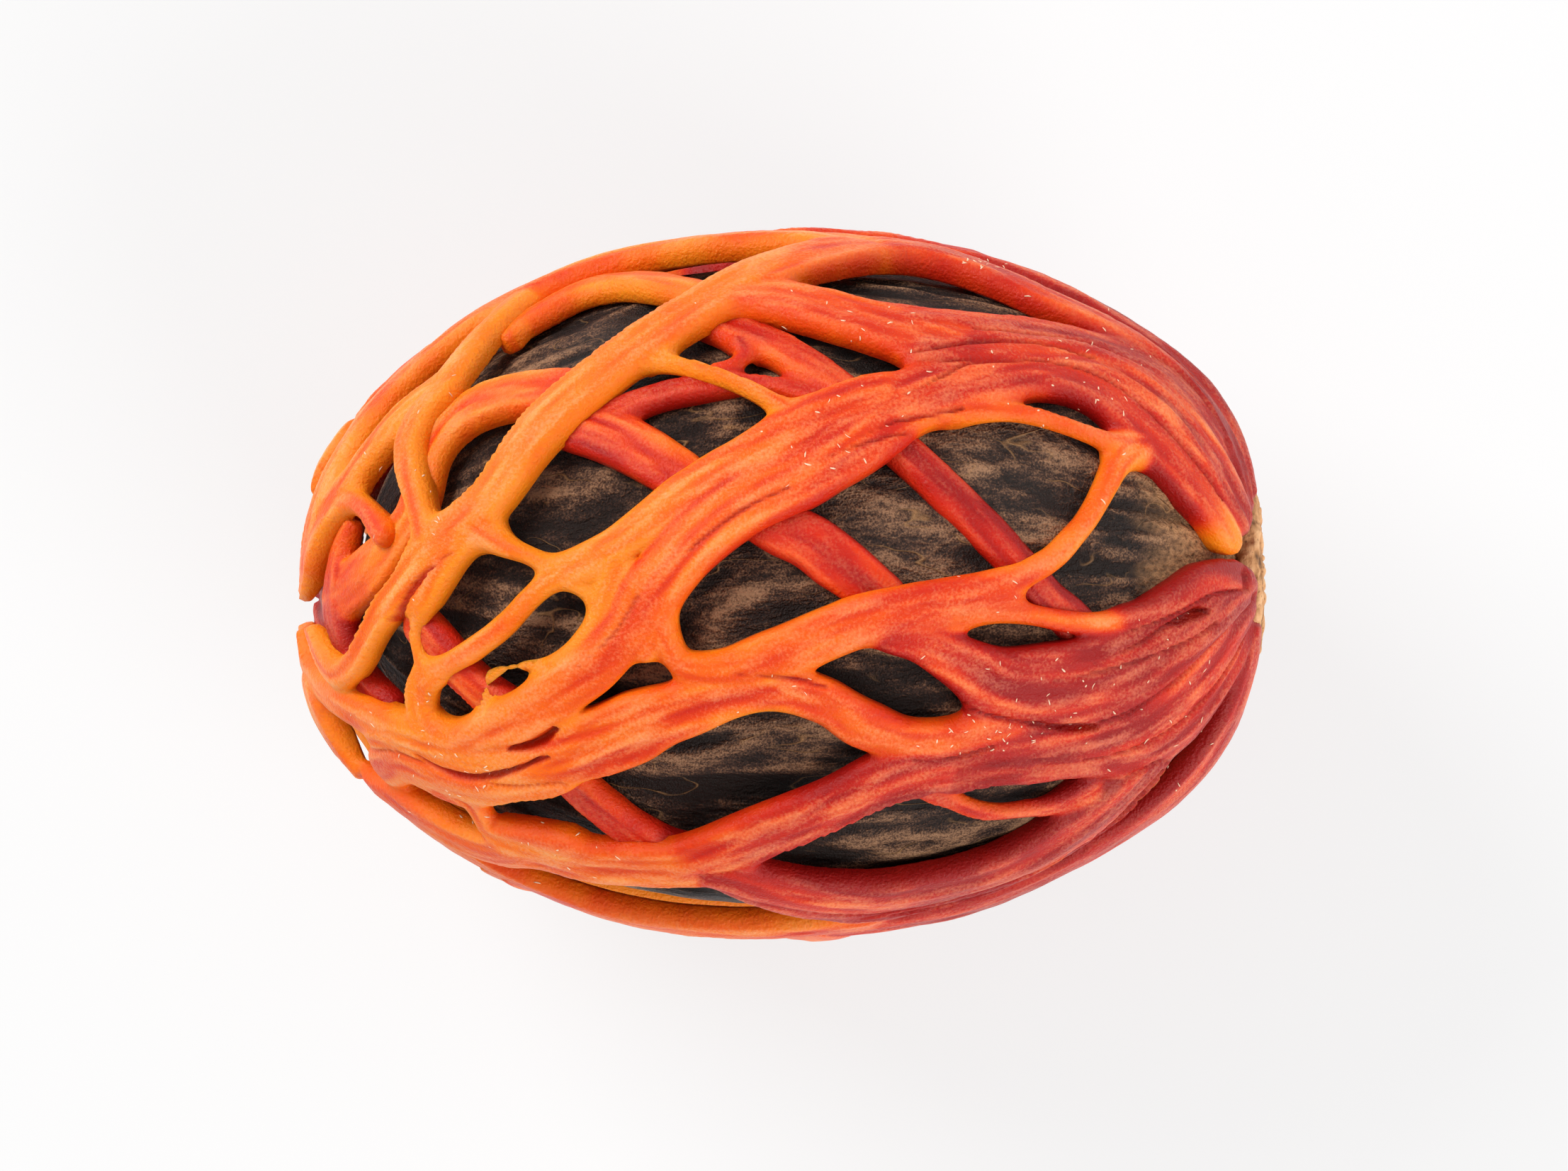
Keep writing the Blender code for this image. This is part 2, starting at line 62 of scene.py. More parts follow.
# ---------------------------------------------------------------- the strands of the net
# name: (start tone, end tone, how far it stands over its neighbours, how deep its folds are, route)
# A tone of 0 is yellow-orange and 1 is crimson. A route is a list of (latitude, angle round X,
# width): latitude -90 is the tip end at -X and +90 the scar end; angle 0 is straight up, +90 is +Y.
OUTER_STRANDS = {
    "rim_top": (.15, .35, .05, 0, [(-86, 6, .4), (-83, 18, .8), (-79, 38, 1.2), (-66, 58, 1.5), (-50, 74, 1.4),
                                   (-32, 81, 1.3), (-20, 82, 1.3), (-8, 80, 1.3), (4, 77, 1.5), (12, 74, 1.6)]),
    "fork": (.15, .12, .02, 0, [(-32, 78, 1.0), (-37, 68, 1.1), (-41, 60, 1.2), (-44.5, 54, 1.3)]),
    "drop": (.12, .10, .12, 0, [(-44.5, 54, 1.2), (-49, 43, 1.2), (-49.3, 35, 1.15), (-48.5, 27, 1.05),
                                (-47.5, 20, .95), (-46.7, 13, .7)]),
    "left_edge": (.15, .18, .05, 0, [(-44.5, 54, 1.2), (-51, 53, 1.3), (-56, 50, 1.3), (-61, 46, 1.2),
                                     (-66, 43, 1.2), (-72, 40, 1.1), (-78, 33, .9)]),
    "arch": (.2, .3, -.02, 0, [(-76, 40, .7), (-71, 43, .75), (-66, 41, .75), (-62, 36, .75), (-58.5, 28, .8),
                               (-55.5, 19, 1.1)]),
    "long_diagonal": (.1, .42, .12, 0, [(-47, 9, 1.6), (-42, 14, 1.7), (-36, 21, 1.6), (-30, 31, 1.8),
                                        (-20, 42, 1.8), (-10, 52, 1.8), (0, 63, 1.9), (10, 72, 1.8)]),
    "hook": (.12, .12, .1, 0, [(-78, -24, .6), (-75.5, -27, .8), (-71.5, -32, 1.0), (-66.8, -32, 1.1),
                               (-62.6, -23.5, 1.0), (-59.7, -14.6, 1.0), (-56, -5, 1.1), (-51, 3, 1.3), (-46, 10, 1.5)]),
    "diagonal_end": (.1, .1, .06, 0, [(-42, 13, 1.6), (-44.5, 7.5, 1.4), (-47, .8, 1.1), (-49, -4, .7)]),
    "thin_drop": (.1, .1, -.2, 0, [(-49, -4, .65), (-50, -9, .5), (-49.8, -13, .45), (-48.5, -18, .4)]),
    "mid_strut": (.12, .1, -.1, 0, [(-49, -25.5, .9), (-48.5, -21, .85), (-46.5, -18.5, .8), (-41, -12.5, .78),
                                    (-36, -7, .78), (-32, -1.5, .75), (-28, 3, .78), (-23, 6, 1.0)]),
    "mid_link": (.12, .1, -.1, 0, [(-38, 13, 1.2), (-34, 9, .75), (-31, 7, .6), (-28, 5, .6), (-24, 5.5, .8)]),
    "small_strut": (.1, .02, -.15, 0, [(-20, 4, .8), (-21.5, 0, .75), (-22.5, -3.5, .6), (-24.5, -7.5, .45),
                                       (-27, -11.5, .4), (-29, -14.5, .42)]),
    "small_arc": (.05, .05, -.25, 0, [(-27, 2.5, .3), (-25.5, 1, .3), (-24, -.5, .3), (-23, -2.5, .3)]),
    "twig": (.0, .0, -.3, 0, [(-29, -14, .36), (-31.5, -14, .32), (-34, -14.5, .32), (-36, -15.5, .32),
                              (-38, -17.5, .33), (-38.5, -20.5, .34), (-38.5, -25, .4)]),
    "upper_band": (.12, .42, .0, 0, [(-26, 4, .9), (-22, 6.5, 1.1), (-18, 9.5, 1.3), (-14, 13.5, 1.4),
                                     (-10, 17, 1.5), (-5, 20.5, 1.7), (0, 24, 2.0), (6, 28, 2.3), (12, 31, 2.4)]),
    "main_band": (.26, .56, .04, 0, [(-49.5, -38.5, 1.2), (-46, -36, 1.3), (-43, -36, 1.4), (-37, -28.5, 1.6),
                                   (-32.5, -24, 1.8), (-26, -17, 2.0), (-22, -13, 2.1), (-18, -7, 2.2),
                                   (-16, -1.5, 2.0), (-12, 5, 2.0), (-8, 10, 2.1), (-3, 14.5, 2.2),
                                   (2, 17.8, 2.3), (7, 22, 2.3), (12, 27, 2.3)]),
    "fat_band": (.22, .4, .0, .6, [(-57, -44, 1.6), (-52, -40, 1.8), (-46, -38.5, 2.0), (-40, -37, 2.2),
                                    (-35, -35.5, 2.1), (-30, -33.5, 2.0), (-25, -29.5, 2.4), (-20, -25.5, 2.6),
                                    (-15, -22, 2.2), (-10, -19.5, 1.8), (-5, -18, 1.3), (0, -17.8, 1.1),
                                    (4, -18.8, 1.1)]),
    "hole_rim": (.2, .25, .0, 0, [(-47, -19, .8), (-49.3, -23, .8), (-49.7, -28, .8), (-48.3, -33, .9),
                                  (-45, -36, 1.0)]),
    "left_body": (.3, .3, .04, 1, [(-55.5, -57, 1.8), (-52, -49, 1.9), (-46, -46.5, 2.0), (-40, -44.5, 1.8),
                                    (-34, -41, 1.2), (-28, -37, 1.0)]),
    "neck": (.35, .35, -.05, 0, [(-46, -50, 1.2), (-41.5, -50.5, .9), (-40, -53.5, .75), (-38, -58, .9),
                                 (-32, -56.5, 1.5), (-28, -56, 2.0)]),
    "low_band": (.4, .8, .05, .4, [(-35, -60, 1.6), (-30, -58, 2.0), (-25, -57.5, 2.1), (-20, -55.7, 2.1),
                                     (-15, -54, 2.1), (-12, -52.5, 2.1), (-5, -46, 2.1), (0, -42.3, 2.0),
                                     (5, -38.8, 1.9), (10, -35.5, 2.0), (15, -33.8, 2.0), (20, -34, 1.8),
                                     (25, -34.5, 1.7), (30, -35.8, 1.7), (36, -37, 2.0)]),
    "low_loop": (.35, .42, -.1, 0, [(-59, -78, .8), (-54, -82, 1.3), (-48, -84, 1.7), (-42, -84, 1.8),
                                    (-36, -84, 1.6), (-24, -83, 1.5), (-10, -80, 1.7), (2, -77, 1.7),
                                    (8, -76, 1.8)]),
    "low_rim": (.32, .32, .1, 0, [(-59, -76, .7), (-54, -71, 1.4), (-48, -70, 1.8), (-43, -69, 1.8),
                                  (-38, -66, 1.7), (-34, -61, 1.5), (-30, -58, 1.2)]),
    "left_tip": (.25, .3, .2, 0, [(-83, -60, .7), (-78, -68, 1.1), (-72, -76, 1.2), (-66, -80, 1.0),
                                  (-61, -80, .6)]),
    "left_side": (.45, .3, .0, 0, [(-85, -88, .7), (-80, -74, 1.0), (-73.5, -58, 1.1), (-67, -48, 1.2),
                                   (-61.5, -43.5, 1.3), (-57, -41, 1.5), (-53.5, -41, 1.6)]),
    "ring_band": (.34, .5, .04, 0, [(-17, 0, 1.2), (-15.3, -5, 1.0), (-14, -8.5, .9), (-13, -11.5, .9),
                                   (-11.5, -13, 1.0), (-7, -13.5, 1.4), (-2, -11.5, 1.7), (3, -9, 1.8),
                                   (8, -6.5, 1.8), (13, -5, 1.7), (18, -4, 1.7), (22, -3.4, 1.6),
                                   (26, -2.5, 1.5)]),
    "loop": (.42, .38, -.08, 0, [(22, -2.5, 1.0), (26, -1.2, 1.0), (30, 1, .95), (33.5, 3.5, .85), (36.5, 7.5, .8),
                                 (39, 12, .8), (41, 17, .8), (42.7, 22, .85), (44, 26.5, .95),
                                 (46.5, 31.5, 1.2)]),
    "pale_strut": (.45, .6, .0, 0, [(20, -6, .9), (25, -6, .7), (30, -6.8, .65), (35, -8.8, .7), (40, -10, .75),
                                    (45, -10.7, .75), (50, -10, .8), (55, -7.5, .9), (59, -5, 1.0)]),
    "link_strut": (.45, .62, -.04, 0, [(0, -17, 1.2), (5, -20, 1.5), (9, -24, 1.7), (14, -27, 1.2),
                                       (19, -27.7, 1.1), (24, -27, 1.1), (28, -26, 1.3)]),
    "fan_1": (.78, .95, .06, 1, [(12.5, -9.5, 1.0), (16, -11, 1.2), (19, -13, 1.6), (22, -15.5, 2.0),
                                 (26, -19.5, 2.7), (32, -22, 3.2), (40, -23, 3.4), (48, -21, 3.4),
                                 (56, -17, 3.0), (64, -12, 2.4), (71, -9, 1.7)]),
    "fan_2": (.74, .93, .0, 1, [(20, -34, 1.8), (28, -34.5, 1.8), (36, -36, 2.2), (44, -37, 2.6), (52, -35, 3.0),
                                (60, -31, 2.8), (67, -26, 2.2), (72, -22, 1.5)]),
    "fan_3": (.85, .98, -.08, 1, [(30, -37, 1.4), (38, -41, 1.4), (46, -46, 2.2), (54, -46, 2.2), (62, -42, 2.0),
                                  (69, -38, 1.6), (73, -34, 1.0)]),
    "fan_4": (.88, .72, .1, 1, [(44, -11, 1.0), (49, -10, 1.2), (54, -7.5, 1.5), (59, -4.5, 1.6), (64, -5, 1.8),
                                (69, -8, 1.6), (72, -12, 1.1)]),
    "bow": (.45, .7, -.15, 0, [(17, -39.5, .8), (19, -41.5, .65), (22, -45, .65), (25, -47.5, .65),
                               (28.5, -49, .65), (31.5, -50.5, .7), (34.5, -51, .9), (37.5, -50.5, 1.2)]),
    "low_right": (.66, .92, .0, .8, [(-12, -53, 1.3), (-7, -55.5, 1.8), (-2, -59.5, 2.2), (3, -63, 2.6),
                                     (9, -66, 2.9), (16, -67, 2.9), (23, -67, 2.9), (30, -65, 2.8),
                                     (36, -61.5, 2.7), (42, -57, 2.3), (47, -52, 1.9)]),
    "right_rim": (.75, .9, -.06, .8, [(6, -79, 1.6), (14, -80, 2.0), (22, -81, 2.2), (38, -80, 2.2),
                                      (54, -77, 2.2), (61, -73, 2.2), (67, -66, 2.0), (72, -57, 1.7),
                                      (75, -45, 1.2)]),
    "top_rim": (.5, .92, .04, .5, [(6, 70, 1.4), (12, 74, 1.6), (20, 76, 1.6), (28, 74, 1.6), (36, 71, 1.5),
                                   (50, 70, 1.4), (62, 64, 1.4), (69, 54, 1.1), (73, 40, .7)]),
    "back_rim": (.45, .9, -.04, .5, [(0, 83, .5), (10, 87, .9), (19, 90, 1.4), (28, 91, 1.6), (36, 90, 1.8), (46, 89, 1.8),
                                    (56, 86, 1.8), (64, 80, 1.6), (70, 70, 1.3), (74, 56, .9)]),
    "cross_band": (.38, .52, -.04, 0, [(-5, 55, 1.2), (0, 54.2, 2.0), (5, 51.7, 2.1), (10, 49.2, 2.2),
                                       (15, 47.2, 2.3), (20, 46.2, 2.6)]),
    "lobe_1": (.6, .85, .0, 1, [(14, 49, 1.6), (20, 50.5, 1.4), (26, 52, 1.4), (32, 54.5, 1.5), (38, 57, 1.6),
                                 (50, 62, 1.9), (56, 60, 1.9), (62, 55, 1.7)]),
    "lobe_2": (.56, .84, .04, 1, [(18, 44, 2.0), (25, 45, 2.2), (32, 48, 2.2), (40, 51, 2.4), (48, 50, 2.6),
                                 (56, 44, 2.8), (63, 36, 2.4), (69, 28, 1.8)]),
    "lobe_3": (.5, .8, -.02, 1, [(12, 29, 2.2), (18, 34, 2.4), (25, 38.5, 2.2), (32, 43, 1.7), (40, 44, 1.7),
                                   (47, 39, 1.7), (53, 33.5, 1.9), (58, 28, 1.8), (62, 22.5, 1.3),
                                   (66, 15, .9)]),
    "lobe_tip": (.35, -.1, .1, 0, [(60, 24.5, 1.1), (63.5, 20, 1.3), (66.5, 14, 1.1), (67.5, 11, .7)]),
    "thin_upper": (.1, .3, -.15, 0, [(-14, 42, .75), (-10, 39.6, .65), (-6, 36.6, .65), (-2, 33.1, .65),
                                     (1, 30, .8)]),
    "thin_right": (.28, .55, -.1, 0, [(21, 31, .8), (26, 32, .6), (31, 32.8, .6), (36, 32.3, .6), (41, 31.5, .65),
                                      (45, 31.5, .85), (48, 33.5, 1.2), (50, 36, 1.2)]),
}

INNER_STRANDS = {
    "inner_left": (.3, .42, .0, 0, [(-74.4, 0, 1.5), (-69, 4, 1.9), (-61.5, 10.5, 1.9), (-55.6, 17, 1.7),
                                    (-51, 24.5, 1.6), (-48, 38, 1.5), (-44.5, 44, 1.6), (-40, 46.5, 1.8),
                                    (-35.5, 45.5, 1.9), (-30, 43.5, 1.8), (-26, 42, 1.6)]),
    "tip_tissue": (.35, .75, .0, 0, [(-66.5, 33, .7), (-69, 29, .9), (-71.5, 20.2, 1.2), (-72, 7.9, 1.8),
                                   (-73, -8.3, 1.8), (-70.4, -21, 1.2)]),
    "tip_back": (.9, .9, -.3, 0, [(-84, 170, 3.0), (-84, -60, 3.0), (-76, -45, 1.6)]),
    "red_top": (.36, .32, .0, 0, [(-34.5, 68.5, 1.1), (-33, 72, 1.2), (-29, 74.5, 1.3), (-24, 77, 1.3),
                                 (-18.5, 73.5, 1.3), (-12, 65, 1.3), (-8, 60, 1.3), (-4, 56, 1.2)]),
    "red_long": (.55, .78, .0, 0, [(-9, 53, 1.2), (-5, 49.5, 1.4), (-1, 45.7, 1.4), (3, 41, 1.4), (7, 35.8, 1.4),
                                  (15, 24, 1.4), (25, 10, 1.4), (33, -3, 1.4), (37, -9, 1.5), (40, -14, 1.6)]),
    "red_bow": (.72, .5, -.05, 0, [(-25, 32, .9), (-18, 35.3, 1.0), (-11.5, 36.8, 1.0), (-7, 37.2, .9),
                                   (-2.8, 36.8, .75), (1.5, 35.2, .8), (5, 33.2, 1.0)]),
    "red_web": (.55, .25, .1, 0, [(-4.3, 45.5, .7), (-3.8, 42.6, .5), (-5.4, 40.6, .38), (-7.2, 39.9, .34),
                                  (-9.2, 38.9, .4)]),
    "red_upper": (.6, .55, .04, 0, [(-28, 34.7, 1.5), (-24, 31.7, 1.8), (-20, 28.2, 1.9), (-16, 24.2, 1.9),
                                    (-12, 19.7, 1.8)]),
    "red_mid": (.62, .72, .0, 0, [(-3, 11.5, 1.6), (0, 9.5, 1.9), (3, 7.5, 1.9), (6, 4.2, 1.9), (9, .8, 1.8),
                                  (12, -3, 1.8)]),
    "red_low": (.55, .7, .0, 0, [(-27, -39.5, 1.5), (-23.5, -44.5, 1.5), (-20, -48.5, 1.5), (-16, -51.5, 1.3),
                                  (-13, -52, 1.0)]),
    "red_left": (.52, .6, .0, 0, [(-50.5, -8, 1.5), (-47.5, -12.5, 1.5), (-45, -16.5, 1.5), (-42, -20, 1.5),
                                  (-39, -23, 1.5), (-36, -25, 1.5)]),
    "red_tip": (.7, .7, .0, 0, [(-67.5, -32, 1.2), (-64.5, -34, 1.2), (-61, -36.5, 1.2), (-57.5, -38, 1.2)]),
}

# Cracks and slits in the outer strands: name: (depth, route); a depth of 1 is 0.16 mm. The depth also darkens the
# colour there as painted shade.
CRACKS = {
    "fan_crack": (1.2, [(20, -21, .1), (23.6, -24, .12), (28.4, -26.9, .14), (31.7, -28.9, .16)]),
    "fan_slit": (3.2, [(30.5, -28.4, .12), (34.5, -30.5, .26), (38.5, -32.4, .14)]),
    "fan_end": (1.0, [(38.5, -32.4, .12), (43, -32.4, .1), (49, -30, .1), (56, -26.5, .1)]),
    "hook_groove": (1.8, [(-42, 9, .08), (-44.6, 6.9, .12), (-48.8, 1.6, .16), (-53, -7, .12)]),
    "upper_slit": (3.0, [(50, -13, .1), (53.5, -12, .26), (56.5, -11.2, .24), (58.3, -11.6, .1)]),
    "upper_crack": (1.0, [(38, -17.8, .08), (44.3, -16, .1), (50, -13, .12)]),
    "middle_crack": (.9, [(32.4, -19.7, .1), (38.6, -19.8, .1), (45.4, -19.4, .1), (53, -18.6, .1), (60, -16, .1)]),
    "ring_crack": (.9, [(-6.4, -13.8, .09), (-2.5, -14.3, .1), (.9, -15, .1), (4.2, -16.4, .08)]),
    "link_crack": (1.4, [(14.6, -30.4, .1), (19.6, -31.3, .12), (24.2, -30.7, .1)]),
    "body_crack": (2.2, [(-48.8, -41.6, .14), (-45, -42.2, .2), (-41, -41.4, .22), (-37.2, -38.8, .2),
                         (-32.9, -34.6, .16), (-29.2, -31, .1)]),
    "red_slit": (2.8, [(-34.6, -31.4, .16), (-32.3, -30, .3), (-30.1, -28.1, .3), (-28.1, -25.2, .14)]),
    "lobe_crack": (1.2, [(14, 40, .08), (18.1, 42.3, .1), (24.3, 46, .12), (32, 49.3, .1), (40, 51, .08)]),
    "main_1": (1.0, [(15, 32, .08), (19.7, 36.7, .11), (23.4, 40.7, .11), (30, 43, .08)]),
    "main_2": (1.0, [(9, 23.5, .08), (13.6, 26.9, .11), (17.5, 28.6, .11), (22, 31, .08)]),
    "main_3": (.8, [(4, 19.6, .08), (10.4, 23.1, .1), (15, 25, .08)]),
    "main_4": (.8, [(-14, 2, .08), (-9, 8, .1), (-4, 12.5, .1), (1, 15.5, .08)]),
    "main_5": (.7, [(-25, -13.5, .08), (-20, -7, .1), (-17, -1, .08)]),
    "lamella_1": (1.6, [(33.1, -69, .12), (38.2, -65.9, .16), (44.1, -60.6, .18), (49, -55.5, .12)]),
    "lamella_2": (1.1, [(8, -70, .1), (18, -72, .12), (28, -72, .12), (38, -70, .12), (48, -64, .12), (58, -55, .1)]),
    "lamella_3": (.9, [(0, -64, .08), (10, -69, .1), (20, -70, .1), (30, -69, .1), (37, -66, .1)]),
}

# Slits right through the outer net: latitude, angle and width in mm
SLITS = [[(-24.8, -21.6, .14), (-22.4, -19.4, .26), (-20.2, -17.2, .4), (-17.6, -13.4, .5)]]

# Where the painted glints lie, pale specks that stand in for small highlights: middle x and y, spread along x and y,
# count; in mm from the egg's centre
GLINT_PATCHES = [(10.5, -3.0, 3.0, 1.8, 50), (9.5, 5.6, 2.2, 1.2, 28), (6.8, 10.6, .5, .12, 16),
                 (2.6, 8.3, 1.6, .9, 22), (6.6, -5.2, 1.6, .4, 26), (11.5, 8.0, 1.6, 1.2, 14),
                 (-12.6, 3.8, 1.2, 2.2, 24), (-13.0, -3.6, 1.2, .9, 16), (-11.2, -6.4, 1.0, .6, 16),
                 (1.5, 4.6, 2.2, 1.6, 20), (-1.0, -3.8, 1.8, 1.2, 12), (12.6, -6.0, 1.4, 1.2, 14),
                 (-8.0, -8.2, 1.2, .6, 14), (4.1, .3, .3, .2, 4)]

# Strands that only the underside has
BELOW_STRANDS = {
    "foot_band": (.4, .5, .0, 0, [(-16, 168, 1.6), (-6, 172, 2.0), (4, 170, 2.0), (14, 164, 1.6)]),
    "side_link_1": (.3, .3, .0, 0, [(-38, -85, 1.4), (-33, -98, 1.3), (-27, -112, 1.4)]),
    "side_link_2": (.45, .45, .0, 0, [(0, -79, 1.7), (6, -96, 1.5), (12, -112, 1.7)]),
    "side_link_3": (.65, .65, .0, 0, [(34, -81, 2.0), (38, -95, 1.8), (40, -108, 1.8)]),
}


# ---------------------------------------------------------------- the egg that all is laid on
def egg_axes(depth):
    """Half the length and girth of the skin, sunk by depth."""
    size = bpy.context.scene.nutmeg_net
    return np.array([size.skin_long - depth, size.skin_round - depth, size.skin_round - depth])


def egg_centre():
    """The egg's centre in the frame: its lowest line is cut off by the flat foot."""
    size = bpy.context.scene.nutmeg_net
    return np.array([CENTRE_X, 0.0, size.skin_round - FOOT_CUT])


def skin_point(lat, angle, depth):
    axes = egg_axes(depth)
    t = math.radians(lat)
    a = math.radians(angle)
    return np.array([axes[0] * math.sin(t), axes[1] * math.cos(t) * math.sin(a),
                     axes[2] * math.cos(t) * math.cos(a)])


def onto_skin(points, depth):
    """Points pushed onto the skin sunk by depth."""
    return points / np.linalg.norm(points / egg_axes(depth), axis=1)[:, None]


def skin_normals(points, depth):
    normals = points / egg_axes(depth) ** 2
    return normals / np.linalg.norm(normals, axis=1)[:, None]


def swell(points):
    """How far the net stands out of the egg at the sides of its two ends."""
    long_r = bpy.context.scene.nutmeg_net.skin_long
    lat = np.degrees(np.arcsin(np.clip(points[:, 0] / long_r, -1, 1)))
    side = np.abs(points[:, 1] / (np.hypot(points[:, 1], points[:, 2]) + 1e-9)) ** 3
    return side * (0.4 * np.exp(-((lat - 58) / 16) ** 2) + 0.25 * np.exp(-((lat + 68) / 13) ** 2))


# ---------------------------------------------------------------- noise
def noise(points, seed=0):
    """Smooth repeatable noise between -1 and 1, with cells one unit wide."""
    cell = np.floor(points).astype(np.int64)
    part = points - cell
    part = part * part * part * (part * (part * 6 - 15) + 10)
    total = np.zeros(len(points))
    for corner in np.ndindex(2, 2, 2):
        at = cell + np.array(corner)
        mix = at[:, 0] * 73856093 ^ at[:, 1] * 19349663 ^ at[:, 2] * 83492791 ^ (seed + 1) * 40503
        mix = (mix ^ (mix >> 13)) * 1274126177 & 0x7fffffff
        mix = (mix ^ (mix >> 11)) & 0xffff
        weight = np.prod(np.where(np.array(corner) == 1, part, 1 - part), axis=1)
        total += weight * (mix / 32767.5 - 1)
    return total


# ---------------------------------------------------------------- measuring against the strands
class Strand:
    """One strand's line: closely spaced stations on the skin with their direction, side and width."""

    def __init__(self, number, spec, depth, turn):
        tone_start, tone_end, self.over, self.fold, route = spec
        self.number = number
        knots = np.array([[*skin_point(lat, angle + turn, depth), width] for lat, angle, width in route])
        knots = np.vstack([2 * knots[0] - knots[1], knots, 2 * knots[-1] - knots[-2]])
        u = np.linspace(0, 1, 24, endpoint=False)[:, None]
        rows = []
        for p0, p1, p2, p3 in zip(knots, knots[1:], knots[2:], knots[3:]):
            rows.append(0.5 * (2 * p1 + (p2 - p0) * u + (2 * p0 - 5 * p1 + 4 * p2 - p3) * u ** 2
                               + (3 * p1 - p0 - 3 * p2 + p3) * u ** 3))
        rows = np.vstack(rows + [knots[-2][None]])
        spots = onto_skin(rows[:, :3], depth)
        run = np.concatenate([[0], np.cumsum(np.linalg.norm(np.diff(spots, axis=0), axis=1))])
        self.run = np.linspace(0, run[-1], max(6, round(run[-1] / 0.14)))
        self.spots = onto_skin(np.array([np.interp(self.run, run, spots[:, k]) for k in range(3)]).T, depth)
        self.width = np.interp(self.run, run, rows[:, 3])
        self.ahead = np.gradient(self.spots, axis=0)
        self.ahead /= np.linalg.norm(self.ahead, axis=1)[:, None]
        self.side = np.cross(skin_normals(self.spots, depth), self.ahead)
        self.tone = np.interp(self.run, [0, self.run[-1]], [tone_start, tone_end])
        self.widen = np.gradient(self.width, self.run)

    def near(self, points, reach):
        """Numbers of the points that may lie within reach of the strand's edge."""
        low = self.spots.min(0) - self.width.max() / 2 - reach
        high = self.spots.max(0) + self.width.max() / 2 + reach
        return np.nonzero(((points > low) & (points < high)).all(1))[0]

    def measure(self, points):
        """Per point: how far inside the edge, along, across, width and tone."""
        nearest = np.empty(len(points), int)
        half = (self.spots ** 2).sum(1) / 2
        for start in range(0, len(points), 20000):
            chunk = points[start:start + 20000]
            nearest[start:start + 20000] = (half[None] - chunk @ self.spots.T).argmin(1)
        rel = points - self.spots[nearest]
        along = (rel * self.ahead[nearest]).sum(1)
        across = (rel * self.side[nearest]).sum(1)
        past = np.where(nearest == 0, np.maximum(0, -along), 0)
        past = np.where(nearest == len(self.spots) - 1, np.maximum(0, along), past)
        width = self.width[nearest] + self.widen[nearest] * np.clip(along, -0.15, 0.15)
        inside = width / 2 - np.hypot(across, past)
        return inside, self.run[nearest] + along, across, width, self.tone[nearest]


def wrinkles(along, across, number, fold):
    """The strand's own relief in mm (waves, lengthwise wrinkles and fibres), its fibres and its streaks."""
    def layer(stretch, fine, seed):
        return noise(np.stack([along * stretch, across * fine, np.full(len(along), number * 7.3)], 1), seed)
    waves = 0.06 * layer(0.16, 0.7, 1)
    ridges = 0.05 * layer(0.3, 1.9, 2) + 0.04 * (1 - 2 * np.abs(layer(0.22, 1.5, 5)))
    fibre = 0.65 * layer(0.55, 3.8, 3) + 0.35 * layer(1.3, 7.5, 4)
    streak = 0.65 * layer(0.2, 1.7, 8) + 0.35 * layer(0.5, 4.6, 9)
    return waves * (1 + 0.5 * fold) + ridges * (1 + 0.2 * fold) + 0.055 * fibre, fibre, streak


def read_cracks(points, cracks):
    """How deep each point lies in a crack."""
    deep = np.zeros(len(points))
    for crack in cracks:
        near = crack.near(points, 0.4)
        if len(near) == 0:
            continue
        inside, along, across, width, _ = crack.measure(points[near])
        away = width / 2 - inside + 0.05 * noise(np.stack([along * 1.2, across * 0, np.full(len(near), 1.0)], 1), 13)
        line = crack.over * np.exp(-(2 * np.clip(away, 0, 1) / width) ** 2)
        deep[near] = np.maximum(deep[near], line)
    return deep


def read_strands(points, strands, detail=True):
    """Blends every strand's reading at each point: depth inside the common edge, tone, relief and so on."""
    corner = bpy.context.scene.nutmeg_net.corner_sharpness
    count = len(points)
    mark = np.zeros(count)
    weight = np.full(count, 1e-12)
    best = np.full(count, -9.0)
    second = np.full(count, -9.0)
    fold_best = np.zeros(count)
    fold_second = np.zeros(count)
    sums = {key: np.zeros(count) for key in ("tone", "over", "width", "relief", "fibre", "streak")}
    for strand in strands:
        near = strand.near(points, 1.0)
        if len(near) == 0:
            continue
        inside, along, across, width, tone = strand.measure(points[near])
        close = inside > -1.0
        near, inside, along, across, width, tone = (x[close] for x in (near, inside, along, across, width, tone))
        mark[near] += np.exp(corner * inside)
        if not detail:
            continue
        share = np.exp(11.0 * inside)
        weight[near] += share
        sums["tone"][near] += share * tone
        sums["over"][near] += share * strand.over
        sums["width"][near] += share * width
        relief, fibre, streak = wrinkles(along, across, strand.number, strand.fold)
        sums["relief"][near] += share * relief
        sums["fibre"][near] += share * fibre
        sums["streak"][near] += share * streak
        ahead = inside > best[near]
        runner_up = ~ahead & (inside > second[near])
        fold_second[near] = np.where(ahead, fold_best[near], np.where(runner_up, strand.fold, fold_second[near]))
        second[near] = np.where(ahead, best[near], np.maximum(second[near], inside))
        fold_best[near] = np.where(ahead, strand.fold, fold_best[near])
        best[near] = np.maximum(best[near], inside)
    out = {"inside": np.log(np.maximum(mark, 1e-9)) / corner}
    if detail:
        out.update({key: value / weight for key, value in sums.items()})
        # The crease is where two folding strands meet: the surface sinks there and its colour is darkened as painted
        # shade.
        between = np.exp(-((best - second) / 0.1) ** 2) * np.clip(second / 0.25, 0, 1)
        out["crease"] = between * np.minimum(fold_best, fold_second)
    ragged = 0.045 * noise(points * 0.75, 11) + 0.03 * noise(points * 1.9, 12)
    out["inside"] = out["inside"] + ragged
    return out


